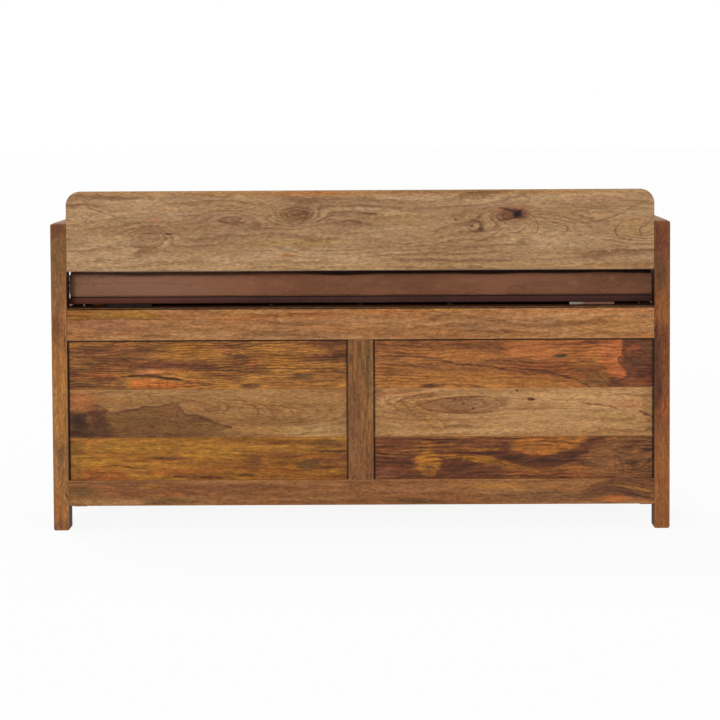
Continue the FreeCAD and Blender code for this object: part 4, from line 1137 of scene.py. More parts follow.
RIGHT_MIDDLE = WoodFinish(
    tone(194, 154, 110), tone(170, 128, 86), tone(184, 140, 92), 24.9, lines=50, wander=3, late=0.55,
    streak=0.24, curl=0.06, drift=12, oil=(0.93, 0.84, 0.69, 1), line=tone(160, 122, 98),
    marks=(
        RIGHT_BAY, Knot(-150, 222, 120, 18, 4.8),
        Area(HONEY, (-56, 222, -72, 230, -98, 236, -130, 242), (-56, 216, -72, 210, -98, 208, -130, 206), 0.5,
         8, 4),
        Area(FAWN, (-98, 222, -120, 229, -150, 234, -204, 236, -260, 232), (-98, 218, -120, 212, -150, 208,
         -204, 208, -260, 218), 0.7, 8, 4),
        *stains((-160, 220.5, 34, 7, COCOA, 0.6), (-128, 186, 26, 17, HONEY, 0.4, -12),
        (-60, 180, 40, 6, STRAW, 0.5), (-350, 190, 180, 16, tone(190, 150, 106), 0.5),
        (-482, 222, 36, 7, PEACH, 0.5), (-450, 198, 60, 9, STRAW, 0.4), (-40, 242, 60, 5, PEACH, 0.5),
        (-516, 212, 12, 40, COCOA, 0.45), (-303, 231.5, 7, 2.2, WINE, 1.0, 0, 0.4, 0.3)),
        *veins((4.4, CHESTNUT, (-130, 243, -90, 237, -66, 228, -57, 220), 0.8),
        (4.4, COCOA, (-57, 220, -68, 212, -98, 204), 0.8),
        (4.6, CHESTNUT, (-230, 237, -200, 236, -150, 233, -116, 226, -101, 220), 0.95),
        (4.6, CHESTNUT, (-101, 220, -120, 213, -153, 209, -204, 208, -240, 210), 0.95),
        (3.6, COCOA, (-160, 240, -110, 236, -84, 228, -77, 220), 0.8),
        (3.6, COCOA, (-77, 220, -90, 212, -120, 205), 0.8),
        (3.6, CHESTNUT, (-210, 230, -168, 229, -142, 221), 0.8),
        (3.6, CHESTNUT, (-142, 221, -160, 213, -200, 213), 0.8),
        (3.6, FAWN, (-204, 236, -250, 234, -300, 232), 0.6),
        (3.6, FAWN, (-204, 209, -260, 213, -380, 214), 0.6),
        (3.0, FAWN, (-110, 244, -200, 246, -300, 246), 0.6),
        (5.6, UMBER, (-165, 232, -171, 232), 0.9, 0, 0.4),
        (5.0, UMBER, (-180, 224.5, -186, 223), 0.9, 0, 0.4),
        (5.0, BARK, (-197, 215.5, -202, 215), 0.9, 0, 0.5),
        (5.0, BARK, (-276, 247, -280.5, 247), 0.9, 0, 0.4), (3.4, WALNUT, (-41, 234, -45, 234), 0.8, 0),
        (5.2, WINE, (-296, 231.5, -310, 231), 1, 0.4, 0.6),
        (3.6, CHESTNUT, (-384, 226, -437, 219, -470, 210), 0.75),
        (3.0, FAWN, (-310, 226, -350, 229, -400, 230), 0.6), (7.0, RUSSET, (-496, 210, -528, 196), 0.9),
        (4.0, COCOA, (-100, 202, -124, 188, -138, 170), 0.4),
        (4.0, COCOA, (-130, 204, -146, 190, -154, 174), 0.4)),
    ))

RIGHT_LOWER = WoodFinish(
    tone(136, 90, 52), tone(96, 58, 38), tone(152, 100, 52), 28.3, lines=150, wander=6, late=0.85,
    streak=0.85, line=tone(110, 72, 56), oil=(1.08, 0.90, 0.70, 1),
    marks=(
        RIGHT_BAY, Knot(-490, 109, 40, 22, 5.0),
        *stains((-60, 128, 38, 38, RUSSET, 0.6), (-80, 135, 34, 6, HONEY, 0.5),
        (-232, 156, 52, 9, tone(100, 62, 42), 0.6), (-110, 148, 20, 10, OCHRE, 0.6)),
        Area(WINE, (-122, 148, -180, 148, -270, 143), (-122, 133, -180, 131, -270, 130), 0.65, 12, 4),
        Area(tone(88, 50, 34), (-136, 118, -180, 119, -255, 110), (-136, 93, -180, 91, -255, 92), 0.7, 14, 5),
        Area(OCHRE, (-99, 128, -112, 135, -126, 137, -140, 130), (-99, 104, -112, 98, -126, 96, -140, 104),
         0.85, 16, 3),
        Area(OCHRE, (-110, 137, -150, 134, -190, 131, -220, 130, -300, 112), (-110, 121, -150, 123, -190, 122,
         -220, 118, -300, 100), 0.85, 16, 3),
        *stains((-200, 141, 60, 3, OCHRE, 0.7), (-160, 150, 50, 3, HONEY, 0.5),
        (-119, 110, 10, 6, MOSS, 0.7)),
        Area(tone(178, 120, 56), (-274, 154, -300, 168, -340, 172, -400, 164), (-274, 140, -300, 134, -340,
         132, -400, 140), 0.8, 12, 5),
        *stains((-330, 150, 34, 7, tone(150, 100, 50), 0.6), (-340, 96, 70, 8, tone(140, 84, 48), 0.5)),
        Area(tone(72, 42, 30), (-240, 134, -297, 130, -337, 131, -353, 137, -373, 143, -390, 152, -413, 162,
         -446, 172), (-240, 122, -297, 108, -337, 108, -373, 116, -397, 132, -420, 150, -446, 164), 0.85, 12,
         5),
        Area(tone(132, 94, 62), (-396, 130, -430, 148, -460, 164, -540, 170), (-396, 112, -430, 86, -460, 80,
         -540, 80), 0.75, 12, 6),
        *stains((-490, 110, 30, 16, WALNUT, 0.6), (-490, 109, 8, 5, UMBER, 0.7),
        (-505, 150, 30, 10, RUSSET, 0.4), (-40, 100, 30, 8, ROSE, 0.3), (-440, 150, 40, 8, COCOA, 0.4)),
        *veins((3.4, BARK, (-26, 148, -80, 147, -130, 143), 0.8),
        (3.4, BARK, (-26, 120, -60, 119, -104, 116), 0.8), (3.4, BARK, (-345, 92.5, -378, 91), 0.8),
        (4.0, PITCH, (-140, 137, -200, 137, -260, 134), 0.5),
        (2.6, tone(196, 118, 62), (-286, 136.5, -320, 134.5, -345, 136), 0.7),
        (3.2, RUSSET, (-445, 86, -452, 100, -453, 110, -449, 124), 0.5),
        (3.2, UMBER, (-462, 92, -468, 104, -467, 116, -460, 128), 0.6),
        (3.2, UMBER, (-474, 96, -479, 108, -474, 122), 0.6),
        (3.2, UMBER, (-420, 94, -470, 89, -528, 92), 0.6),
        (3.2, UMBER, (-505, 96, -513, 108, -508, 124), 0.5),
        (3.0, WALNUT, (-430, 140, -470, 148, -528, 140), 0.5),
        (3.4, BARK, (-150, 103, -190, 101, -240, 101), 0.6)),
    ))

LEFT_POST = WoodFinish(
    tone(168, 118, 70), tone(142, 96, 58), tone(164, 110, 64), 31.2, grain=Grain.ALONG_Z, lines=90, wander=3,
    late=0.35, streak=0.34, curl=0.08, oil=(0.90, 0.84, 0.72, 1),
    marks=(
        # Painted shade on the post's inner face, below the seat.
        Recess((-100, 522), (900, 700), 0.9, 0.9, 462),
        *knots((138, 536, 22, 8, 2.6), (62, 527, 20, 10, -2.4)),
        *stains((490, 536, 90, 22, tone(112, 76, 50), 0.35), (540, 537, 14, 16, RUSSET, 0.75),
        (492, 536, 32, 18, OLIVE, 0.75), (430, 536, 34, 18, COCOA, 0.55), (362, 541, 26, 9, RUSSET, 0.75),
        (330, 536, 18, 14, COCOA, 0.4), (250, 540, 90, 18, GOLD, 0.6), (136, 534, 14, 5, MOSS, 0.85),
        (112, 534, 24, 9, COCOA, 0.55), (36, 538, 20, 12, AMBER, 0.4), (10, 538, 9, 16, COCOA, 0.6)),
        *veins((3.8, BARK, (67, 528, 58, 525), 0.9, 0.3, 0.8),
        (1.8, COCOA, (78, 524, 70, 531, 60, 532, 50, 527)), (1.8, WALNUT, (160, 541, 138, 543, 118, 538)),
        (2.2, CHESTNUT, (430, 540, 390, 539, 350, 534)), (2.2, MOSS, (520, 530, 470, 533, 420, 528)),
        (2.0, MOSS, (500, 542, 460, 539, 430, 543)), (2.0, WALNUT, (92, 530, 80, 538, 74, 546)),
        (1.8, COCOA, (300, 530, 250, 535, 200, 531)), (2.0, UMBER, (380, 524, 340, 527, 322, 525)),
        (1.8, SAND, (450, 545, 420, 541, 400, 544), 0.6)),
    ))

RIGHT_POST = WoodFinish(
    tone(142, 92, 56), tone(118, 72, 46), tone(140, 86, 52), 34.6, grain=Grain.ALONG_Z, lines=90, wander=3,
    late=0.35, streak=0.34, oil=(0.87, 0.73, 0.57, 1),
    marks=(
        # Painted shade on the post's inner face, below the seat.
        Recess((-100, -700), (900, -522), 0.9, 0.9, 462),
        *stains((520, -534, 26, 14, RUSSET, 0.6), (455, -532, 30, 12, MOSS, 0.7),
        (390, -538, 40, 12, HONEY, 0.5), (345, -532, 26, 18, RUSSET, 0.6), (160, -530, 40, 14, COCOA, 0.5)),
        Area(tone(86, 54, 40), (365, -520, 300, -518, 215, -520), (365, -527, 330, -532, 270, -533, 230, -531,
         215, -524), 0.85),
        *stains((270, -546, 44, 8, CHESTNUT, 0.5), (214, -541, 24, 9, AMBER, 0.55),
        (90, -536, 60, 18, HONEY, 0.5), (20, -538, 30, 16, COCOA, 0.4),
        (60, -536, 110, 22, tone(168, 112, 66), 0.4)),
        *veins((2.0, CHESTNUT, (420, -538, 400, -539, 380, -534)),
        (2.0, UMBER, (244, -545, 232, -540, 222, -541, 206, -537), 0.8),
        (2.0, RUSSET, (250, -526, 200, -529, 150, -528)), (1.8, RUST, (100, -543, 80, -541)),
        (1.8, COCOA, (520, -546, 490, -543, 470, -535), 0.6),
        (1.8, RUSSET, (340, -540, 300, -542, 260, -538)), (1.8, CHESTNUT, (140, -536, 90, -531, 40, -533))),
    ))


@dataclass
class Timber:
    """All boards, posts, rails, cleats and dowels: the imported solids, each with a finish of its own."""

    nodes: dict[str, Piece]
    seen: dict[str, WoodFinish] = field(default_factory=lambda: {
        "backrest_board": BACKREST, "back_top_rail": TOP_RAIL, "back_bottom_rail": BOTTOM_RAIL,
        "back_stile": STILE, "back_right_post": LEFT_POST, "back_left_post": RIGHT_POST,
        "back_right_upper_plank": LEFT_UPPER, "back_right_middle_plank": LEFT_MIDDLE,
        "back_right_lower_plank": LEFT_LOWER, "back_left_upper_plank": RIGHT_UPPER,
        "back_left_middle_plank": RIGHT_MIDDLE, "back_left_lower_plank": RIGHT_LOWER,
    })
    grounds: tuple[tuple[Colour, Colour, Colour], ...] = (
        (tone(176, 128, 82), tone(148, 102, 62), GOLD), (tone(180, 142, 98), tone(158, 118, 78), SAND),
        (tone(148, 100, 60), tone(118, 76, 48), AMBER), (tone(170, 122, 62), tone(142, 94, 48), HONEY),
        (tone(160, 106, 66), tone(130, 82, 52), PEACH),
    )
    accents: tuple[Colour, ...] = (UMBER, HONEY, AMBER, RUSSET, OLIVE, OCHRE, FAWN, CHESTNUT, WALNUT)
    by_row: dict[str, tuple[int, int]] = field(default_factory=lambda: {
        "upper": (0, 4), "middle": (1, 1), "lower": (3, 2)})

    def other_board(self, name: str, low: Vector, high: Vector, draw: random.Random) -> WoodFinish:
        """Makes up a finish for a board that the photograph doesn't show.

        Args:
            name: the board's node.
            low: its lowest corner.
            high: its highest corner.
            draw: the source of chance.

        Returns:
            A finish with a few stains, knots and veins inside the board, and painted shade round a plank's
            bay.
        """
        grain = Grain.ALONG_X
        if name.endswith(("_post", "_stile")):
            grain = Grain.ALONG_Z
        elif name.startswith(("left_", "right_")):
            grain = Grain.ALONG_Y
        elif name == "hinge_batten":
            grain = Grain.FLAT_X
        along, across = grain.value[0], grain.value[1]
        length, width = (high[along] - low[along]) / MM, (high[across] - low[across]) / MM

        def spot() -> Pair:
            """A point on the board."""
            return (low[along] / MM + length * draw.uniform(0.06, 0.94),
                    low[across] / MM + width * draw.uniform(0.1, 0.9))

        marks: list[Stain | Knot | Vein | Recess] = []
        plank = name.endswith("_plank")
        # A plank gets painted shade round its bay.
        if plank:
            sided = RIGHT_BAY if low.x < 0 else LEFT_BAY
            marks.append(SIDE_BAY if grain is Grain.ALONG_Y else sided)
        for _ in range(5 + int(length / (60 if plank else 130))):
            marks.append(Stain(*spot(), draw.uniform(16, 80), width * draw.uniform(0.04, 0.15),
                               draw.choice(self.accents), draw.uniform(0.4, 0.8), draw.uniform(-3, 3), 1.6))
        for _ in range(1 + int(length / 400)):
            x, z = spot()
            marks.append(Knot(x, z, draw.uniform(18, 60), width * draw.uniform(0.1, 0.22),
                              draw.choice((-1, 1)) * draw.uniform(2.5, 4.5)))
            if draw.random() < 0.6:
                marks.append(Stain(x, z, draw.uniform(6, 12), draw.uniform(4, 7), UMBER, 0.85, ragged=0.6))
                marks.append(Vein(draw.uniform(2, 3.4), BARK, (x - 4, z, x, z + 1, x + 5, z), 0.9, 0.5, 0.6))
        for _ in range(5 + int(length / (50 if plank else 120))):
            x, z = spot()
            run, bow, rise = draw.uniform(24, 140), draw.uniform(-5, 5), draw.uniform(-4, 4)
            marks.append(Vein(draw.uniform(1.6, 2.8), draw.choice((BARK, UMBER, RUSSET, CHESTNUT)),
                              (x - run / 2, z - rise, x, z + bow, x + run / 2, z + rise),
                              draw.uniform(0.4, 0.8)))
        choice = draw.randrange(len(self.grounds))
        if plank:
            choice = self.by_row[name.split("_")[-2]][choice % 2]
        pale, deep, warm = self.grounds[1 if "cleat" in name else choice]
        bold = 1.7 if plank and choice != 1 else 1.0
        return WoodFinish(pale=pale, deep=deep, warm=warm, seed=draw.uniform(40, 90), grain=grain,
                          lines=draw.uniform(40, 90) * bold, wander=draw.uniform(3, 6), late=0.4 * bold,
                          streak=draw.uniform(0.3, 0.45) * bold, curl=draw.uniform(0.04, 0.08),
                          oil=(0.95, 0.87, 0.74, 1), marks=tuple(marks))

    def dress(self) -> None:
        """Gives every wooden solid its finish."""
        wooden = ("_post", "_rail", "_stile", "_plank", "_cleat", "_board", "batten")
        names = [n for n in sorted(self.nodes) if n.endswith(wooden) and n != "lid_board"]
        draw = random.Random(20)
        for name in names:
            low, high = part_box(name)
            finish = self.seen.get(name) or self.other_board(name, low, high, draw)
            # Painted shade: the hinge batten is darkened and loses its sheen, for the shaded slot under the
            # lid.
            if name == "hinge_batten":
                finish = replace(finish, oil=(0.30, 0.24, 0.22, 1), specular=0.0)
            put_on(self.nodes[name], finish.material(f"wood_{name}", low, high))
            report.info("%s: %d marks", name, len(finish.marks))
        beech = WoodFinish(pale=tone(206, 172, 128), deep=tone(190, 150, 106), warm=CREAM, seed=61,
                           grain=Grain.ALONG_Z)
        low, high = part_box("backrest_dowels")
        put_on(self.nodes["backrest_dowels"], beech.material("wood_dowels", low, high))


@dataclass(frozen=True)
class PlywoodFinish:
    """Birch plywood: a pale face veneer, and thin layers on its edges."""

    face: Colour = tone(206, 172, 128)
    shade: Colour = tone(182, 142, 98)
    layer: Colour = tone(134, 96, 62)
    layers_per_metre: float = 560.0

    def material(self, name: str) -> bpy.types.Material:
        """Builds the material.

        Args:
            name: the material's name.

        Returns:
            The material.
        """
        material, t, shader, here = new_material(name)
        fibres = t.group(Effects.fibres(), Place=here, Shift=NOISE_SHIFT, Seed=52.0)
        figure = t.group(Effects.figure(), Place=fibres["Bent"], Lines=14.0, Wander=7.0, Lift=0.0)
        colour = t.mix(t.span(figure["Bands"], 0.3, 0.7), self.face, self.shade)
        colour = t.mix(t.times(figure["Late"], 0.35), colour, self.layer)
        layer = t.math("FRACT", t.times(t.axes(here)[2], self.layers_per_metre / 2))
        layer = t.times(t.span(layer, 0.42, 0.58), 0.55)
        normal = t.axes(t.node("NewGeometry").outputs["Normal"])[2]
        edge = t.math("LESS_THAN", t.math("ABSOLUTE", normal), 0.5)
        colour = t.mix(t.times(layer, edge), colour, self.layer)
        shade = t.times(t.span(fibres["Streak"], 0.3, 0.7, 0.9, 1.06),
                        t.span(fibres["Pores"], 0, 1, 1.0, 0.8))
        t.surface(shader, t.scaled(colour, shade), t.blend(fibres["Streak"], 0.2, 0.55), fibres["Streak"],
                  (0.2, 0.0004))
        return material


# ------------------------------------------------------------------------------------------
# Leather
# ------------------------------------------------------------------------------------------


@dataclass(frozen=True)
class LeatherFinish:
    """Aniline leather: two ground colours, a rubbed one, another tint at one end, dark seams, and painted
    shade along the pad's back edge and in the lid's crease.
    """

    deep: Colour
    middle: Colour
    rubbed: Colour
    name: str
    end_tint: Colour
    tint_strength: float = 0.55
    roughness: float = 0.55
    pebbles: float = 620.0
    above: "LeatherFinish | None" = None
    # The colour of the dark seams, and of the painted shade that the seam attribute lays along the pad's back
    # edge.
    seam: Colour = tone(18, 12, 10)
    crease: float = 414.6

    def ground(self, t: Tree, hide: Sequence[Socket], side: Socket) -> Socket:
        """Wires the leather's colours.

        Args:
            t: the tree.
            hide: the outputs of the leather group.
            side: the coordinate along the bench.

        Returns:
            The colour.
        """
        colour = t.mix(t.span(hide["Cloud"], 0.34, 0.66), self.deep, self.middle)
        colour = t.mix(t.times(t.span(side, 0.16, 0.42), self.tint_strength), colour, self.end_tint)
        colour = t.scaled(colour, t.span(side, -0.4, -0.05, 0.84, 1.0))
        return t.mix(t.times(t.span(hide["Mottle"], 0.5, 0.78), 0.4), colour, self.rubbed)

    def material(self) -> bpy.types.Material:
        """Builds the material."""
        material, t, shader, here = new_material(self.name)
        hide = t.group(Effects.hide(), Place=here, Pebbles=self.pebbles)
        axes = t.axes(here)
        colour = self.ground(t, hide, axes[0])
        if self.above:
            height = t.math("DIVIDE", axes[2], MM)
            # Painted shade: the wrap grows darker towards its lower edge.
            colour = t.scaled(colour, t.span(height, 402.6, 409.0, 0.85, 1.0))
            share = t.span(height, self.crease, self.crease + 0.8)
            colour = t.mix(share, colour, self.above.ground(t, hide, axes[0]))
            # Painted shade: a dark line in the crease where the pad's colour meets the wrap's.
            off = t.math("ABSOLUTE", t.minus(height, self.crease))
            colour = t.mix(t.span(off, 1.9, 0.6, 0.0, 0.92), colour, SOOT)
        dark = t.times(t.span(hide["Crease"], 0, 1, 1.0, 0.72), t.span(hide["Pebble"], 0, 1, 0.9, 1.03))
        # The seam attribute: the dark seam, and painted shade of the backrest along the pad's back edge,
        # where the sheen is taken away too.
        seam = t.node("Attribute", attribute_name="seam").outputs["Fac"]
        rough = t.blend(hide["Crease"], 0.15, t.blend(hide["Mottle"], 0.28, self.roughness - 0.14))
        height = t.blend(hide["Mottle"], 1.2, t.blend(hide["Crease"], -1.4, hide["Pebble"]))
        t.surface(shader, t.mix(seam, t.scaled(colour, dark), self.seam), t.most(rough, seam), height,
                  (0.4, 0.00035), 0.12)
        return material


PAD_LEATHER = LeatherFinish(tone(116, 73, 49), tone(136, 89, 63), tone(152, 107, 78), "leather_pad",
                            end_tint=tone(143, 105, 83))
LID_LEATHER = LeatherFinish(tone(60, 32, 27), tone(73, 41, 34), tone(90, 52, 42), "leather_lid",
                            end_tint=tone(106, 56, 41), above=PAD_LEATHER)


@dataclass(frozen=True)
class ThreadFinish:
    """Waxed thread, a little lighter than the leather, with its twist."""

    colour: Colour = tone(92, 60, 42)
    dark: Colour = tone(54, 34, 26)

    def material(self) -> bpy.types.Material:
        """Builds the material."""
        material, t, shader, here = new_material("waxed_thread")
        twist = t.node("TexWave", {"Vector": here, "Scale": 900.0, "Distortion": 1.0},
                       bands_direction="DIAGONAL").outputs["Fac"]
        t.fill(shader, {"Base Color": t.mix(twist, self.dark, self.colour),
                        "Roughness": t.blend(twist, 0.2, 0.4)})
        return material


def outline(half_wide: float, low: float, high: float, radius: float, belly: float,
            steps: float) -> list[Vector]:
    """Points round a rectangle with round corners, whose sides may swell or draw in.

    Args:
        half_wide: half its width in X.
        low: its lowest Y.
        high: its highest Y.
        radius: the corners' radius.
        belly: how far the middle of each side stands out beyond its ends.
        steps: the spacing of the points.

    Returns:
        The points, counter-clockwise from the front left corner, each with a z of 0.
    """
    points: list[Vector] = []
    corners = ((-half_wide + radius, low + radius, 180), (half_wide - radius, low + radius, 270),
               (half_wide - radius, high - radius, 0), (-half_wide + radius, high - radius, 90))
    turn = max(3, round(radius * math.pi / 2 / steps))
    for index, (x, y, start) in enumerate(corners):
        for step in range(turn + 1):
            angle = math.radians(start + 90 * step / turn)
            points.append(Vector((x + radius * math.cos(angle), y + radius * math.sin(angle), 0)))
        after = corners[(index + 1) % 4]
        angle = math.radians(start + 90)
        first = points[-1]
        last = Vector((after[0] + radius * math.cos(angle), after[1] + radius * math.sin(angle), 0))
        count = max(2, round((last - first).length / steps))
        out = Vector((math.cos(angle), math.sin(angle), 0))
        for step in range(1, count):
            share = step / count
            points.append(first.lerp(last, share) + out * belly * math.sin(math.pi * share))
    return points


def skin(name: str, rings: Sequence[Sequence[Vector]], closed: bool = False) -> Piece:
    """Makes a mesh from rings of points, one under the other.

    Args:
        name: the new object's name.
        rings: the rings, each with the same number of points.
        closed: whether the last ring joins the first, and otherwise both ends get a cap.

    Returns:
        The object, in the scene and shaded smooth.
    """
    count = len(rings[0])
    points = [p for ring in rings for p in ring]
    faces: list[tuple[int, ...]] = []
    for r in range(len(rings) if closed else len(rings) - 1):
        a, b = r * count, ((r + 1) % len(rings)) * count
        faces += [(a + i, a + (i + 1) % count, b + (i + 1) % count, b + i) for i in range(count)]
    if not closed:
        faces.append(tuple(range(count - 1, -1, -1)))
        last = (len(rings) - 1) * count
        faces.append(tuple(range(last, last + count)))
    made = drawn(name, points, faces)
    work = bmesh.new()
    work.from_mesh(made.data)
    bmesh.ops.recalc_face_normals(work, faces=work.faces)
    work.to_mesh(made.data)
    work.free()
    return made


def applied(piece: Piece) -> None:
    """Applies a piece's modifiers."""
    bpy.context.view_layer.update()
    mesh = bpy.data.meshes.new_from_object(piece.evaluated_get(bpy.context.evaluated_depsgraph_get()))
    piece.modifiers.clear()
    piece.data = mesh


def held_at(share: float) -> float:
    """Keeps a share between 0 and 1."""
    return min(1.0, max(0.0, share))


def stitch(work: bmesh.types.BMesh, middle: Vector, along: Vector, length: float, radius: float) -> None:
    """Adds one stitch or staple: a short spindle.

    Args:
        work: the mesh that it goes into.
        middle: its middle.
        along: its direction.
        length: its length.
        radius: its thickest radius.
    """
    side = along.cross(Vector((0, 0, 1))).normalized()
    up = side.cross(along).normalized()
    corners = [math.radians(60 * corner) for corner in range(6)]
    rings = [[work.verts.new(middle + along * length * share
                             + (side * math.cos(a) + up * math.sin(a)) * radius * thick) for a in corners]
             for share, thick in ((-0.5, 0.35), (-0.32, 0.85), (0.0, 1.0), (0.32, 0.85), (0.5, 0.35))]
    for first, second in zip(rings, rings[1:]):
        strip(work, first, second)
    work.faces.new(rings[0][::-1])
    work.faces.new(rings[-1])


@dataclass
class Padded:
    """The outline that the cushion and the lid under it share."""

    half_wide: float = 521.4 * MM
    front: float = -195 * MM
    back: float = 154.2 * MM
    corner: float = 1.0 * MM

    def ring(self, inset: float, belly: float, spacing: float) -> list[Vector]:
        """The outline, drawn in.

        Args:
            inset: how far in it lies.
            belly: how far the middle of each side stands out.
            spacing: the spacing of its points.

        Returns:
            The ring's points, with a z of 0.
        """
        middle, deep = Vector((0, (self.front + self.back) / 2, 0)), (self.back - self.front) / 2
        outer = outline(self.half_wide, self.front, self.back, self.corner, belly, spacing)
        return [middle + Vector((p.x * (1 - inset / self.half_wide), p.y * (1 - inset / deep), 0))
                for p in (point - middle for point in outer)]


def bell(distance: float, width: float) -> float:
    """A smooth hump, 1 in the middle and near 0 beyond twice its width."""
    return math.exp(-((distance / width) ** 2))


@dataclass
class SeatPad(Padded):
    """The leather cushion: a boxing strip between a flat base and a crowned top, sewn at both edges."""

    base: float = 417.2 * MM
    seam: float = 456.5 * MM
    belly: float = 0.3 * MM
    lip: float = 3.5 * MM
    crown: float = 4.6 * MM
    crown_reach: float = 165 * MM
    start_inset: float = 2.6 * MM
    cap: float = 4.2 * MM
    spacing: float = 3.4 * MM
    sides: int = 34
    top_rings: int = 36
    ceiling: float = 466 * MM
    back_ceiling: float = 460.2 * MM
    reach: float = 521.7 * MM
    first: float = -197 * MM
    last: float = 155.6 * MM
    slope_from: float = 70 * MM
    slope: float = 45 * MM
    joint: float = -25 * MM
    stitch_length: float = 4.2 * MM
    stitch_gap: float = 2.6 * MM
    stitch_radius: float = 0.42 * MM
    frames: int = 20
    # Humps are given as how high in millimetres, where along the bench and how wide.
    sags: tuple[tuple[float, float, float], ...] = (
        (3.2, 0.386, 0.045), (2.4, 0.245, 0.055), (1.2, 0.05, 0.08), (0.9, -0.2, 0.06))
    foot_lift: tuple[float, float, float] = (2.6, -0.52, 0.05)
    # Creases in the boxing: their height and depth in millimetres, where along the bench and how wide.
    creases: tuple[tuple[float, float, float, float], ...] = (
        (444, 1.5, -0.125, 0.05), (434.5, 1.5, -0.13, 0.055), (430, 1.6, -0.3, 0.06))
    # The boxing's joint: a rib between two furrows, each with its height, place and width in millimetres.
    joint_relief: tuple[tuple[float, float, float], ...] = (
        (0.9, 0, 1.5), (-1.3, 3.4, 1.6), (-0.9, -3.4, 1.6))

    def level_ring(self, inset: float, height: float, spacing: float) -> list[Vector]:
        """One ring of the pad, at a height."""
        return [Vector((p.x, p.y, height)) for p in self.ring(inset, self.belly, spacing)]

    def shell(self, name: str, spacing: float, sides: int, top_rings: int, shrink: float) -> Piece:
        """Builds the closed pad without its seams.

        Args:
            name: the object's name.
            spacing: the spacing of the points round it.
            sides: how many rings the sides have.
            top_rings: how many rings the top has.
            shrink: how far everything but the base stands in.

        Returns:
            The pad.
        """
        deep = (self.back - self.front) / 2
        rings = []
        for step in range(6):
            inset = deep * 0.9 * (1 - step / 6) ** 1.5
            rings.append(self.level_ring(shrink + 2.5 * MM + inset, self.base, spacing))
        for step in range(sides + 1):
            share = step / sides
            draw_in = 0.3 * MM * (1 - math.sin(math.pi * share)) + shrink
            foot = 0.5 * MM * bell(share, 0.05)
            height = self.base + (self.seam - self.base) * share
            rings.append(self.level_ring(draw_in + foot, height, spacing))
        for step in range(1, top_rings + 1):
            inset = deep * 0.985 * (step / top_rings) ** 1.25
            rise = self.crown * math.sin(min(1.0, inset / self.crown_reach) * math.pi / 2) ** 0.8
            rise += self.lip * (1 - math.exp(-inset / (2.2 * MM)))
            rings.append(self.level_ring(0.3 * MM + shrink + inset, self.seam + rise - shrink * 0.4, spacing))
        return skin(name, rings)

    def swollen(self) -> Callable[[Vector], Vector]:
        """Simulates the filling's pressure on a coarser copy of the pad.

        Returns:
            A function that gives how far the cover moves at a point of the pad.
        """
        trial = self.shell("pad_trial", 9 * MM, 5, 16, self.start_inset)
        remesh = trial.modifiers.new("even", "REMESH")
        remesh.mode, remesh.voxel_size = "VOXEL", 6 * MM
        applied(trial)
        start = [v.co.copy() for v in trial.data.vertices]
        held = trial.vertex_groups.new(name="held")
        held.add([v.index for v in trial.data.vertices if v.co.z < self.base + 3 * MM], 1.0, "REPLACE")
        seam = [v.index for v in trial.data.vertices
                if abs(v.co.z - self.seam) < 4 * MM and self.edge_distance(v.co) < 8 * MM]
        held.add(seam, 0.75, "REPLACE")
        cloth = trial.modifiers.new("leather", "CLOTH")
        for setting, value in (("quality", 6), ("mass", 0.6), ("tension_stiffness", 22),
                               ("compression_stiffness", 22), ("shear_stiffness", 12),
                               ("bending_stiffness", 1.2), ("use_pressure", True),
                               ("uniform_pressure_force", 4.0), ("vertex_group_mass", "held")):
            setattr(cloth.settings, setting, value)
        cloth.settings.effector_weights.gravity = 0.0
        cloth.collision_settings.use_collision = False
        scene = bpy.context.scene
        for frame_number in range(1, self.frames + 1):
            scene.frame_set(frame_number)
        view = trial.evaluated_get(bpy.context.evaluated_depsgraph_get())
        moved = [v.co.copy() for v in view.data.vertices]
        trial.modifiers.clear()
        scene.frame_set(1)
        tree = KDTree(len(start))
        for index, point in enumerate(start):
            tree.insert(point, index)
        tree.balance()
        shifts = [after - before for before, after in zip(start, moved)]
        shifts = [s * min(1.0, self.cap / max(s.length, 1e-9)) for s in shifts]
        report.info("pad swells by up to %.1f mm", max(s.length for s in shifts) / MM)
        bpy.data.objects.remove(trial)

        def shift_at(point: Vector) -> Vector:
            """The simulated shift near a point, from its five nearest neighbours."""
            total, weight = Vector((0, 0, 0)), 0.0
            for _, index, distance in tree.find_n(point, 5):
                near = 1 / (distance + 0.8 * MM)
                total += shifts[index] * near
                weight += near
            return total / weight

        return shift_at

    def edge_distance(self, point: Vector) -> float:
        """How far a point lies inside the pad's outline."""
        return min(self.half_wide - abs(point.x), point.y - self.front, self.back - point.y)

    def seam_level(self, x: float) -> float:
        """The top seam's height along the pad, with the slack that it has in places."""
        sag = sum(high * bell(x - middle, wide) for high, middle, wide in self.sags)
        sag += 0.6 * math.sin(x * 47) + 0.4 * math.sin(x * 21 + 1)
        return self.seam - (0.6 + sag) * MM

    def foot_level(self, x: float) -> float:
        """The height of the crease between the pad and the lid, which rises at the right-hand end."""
        high, middle, wide = self.foot_lift
        lift = high * bell(x - middle, wide) + 0.5 * math.sin(x * 33) + 0.3 * math.sin(x * 71 + 2)
        return self.base + (2.6 + lift) * MM

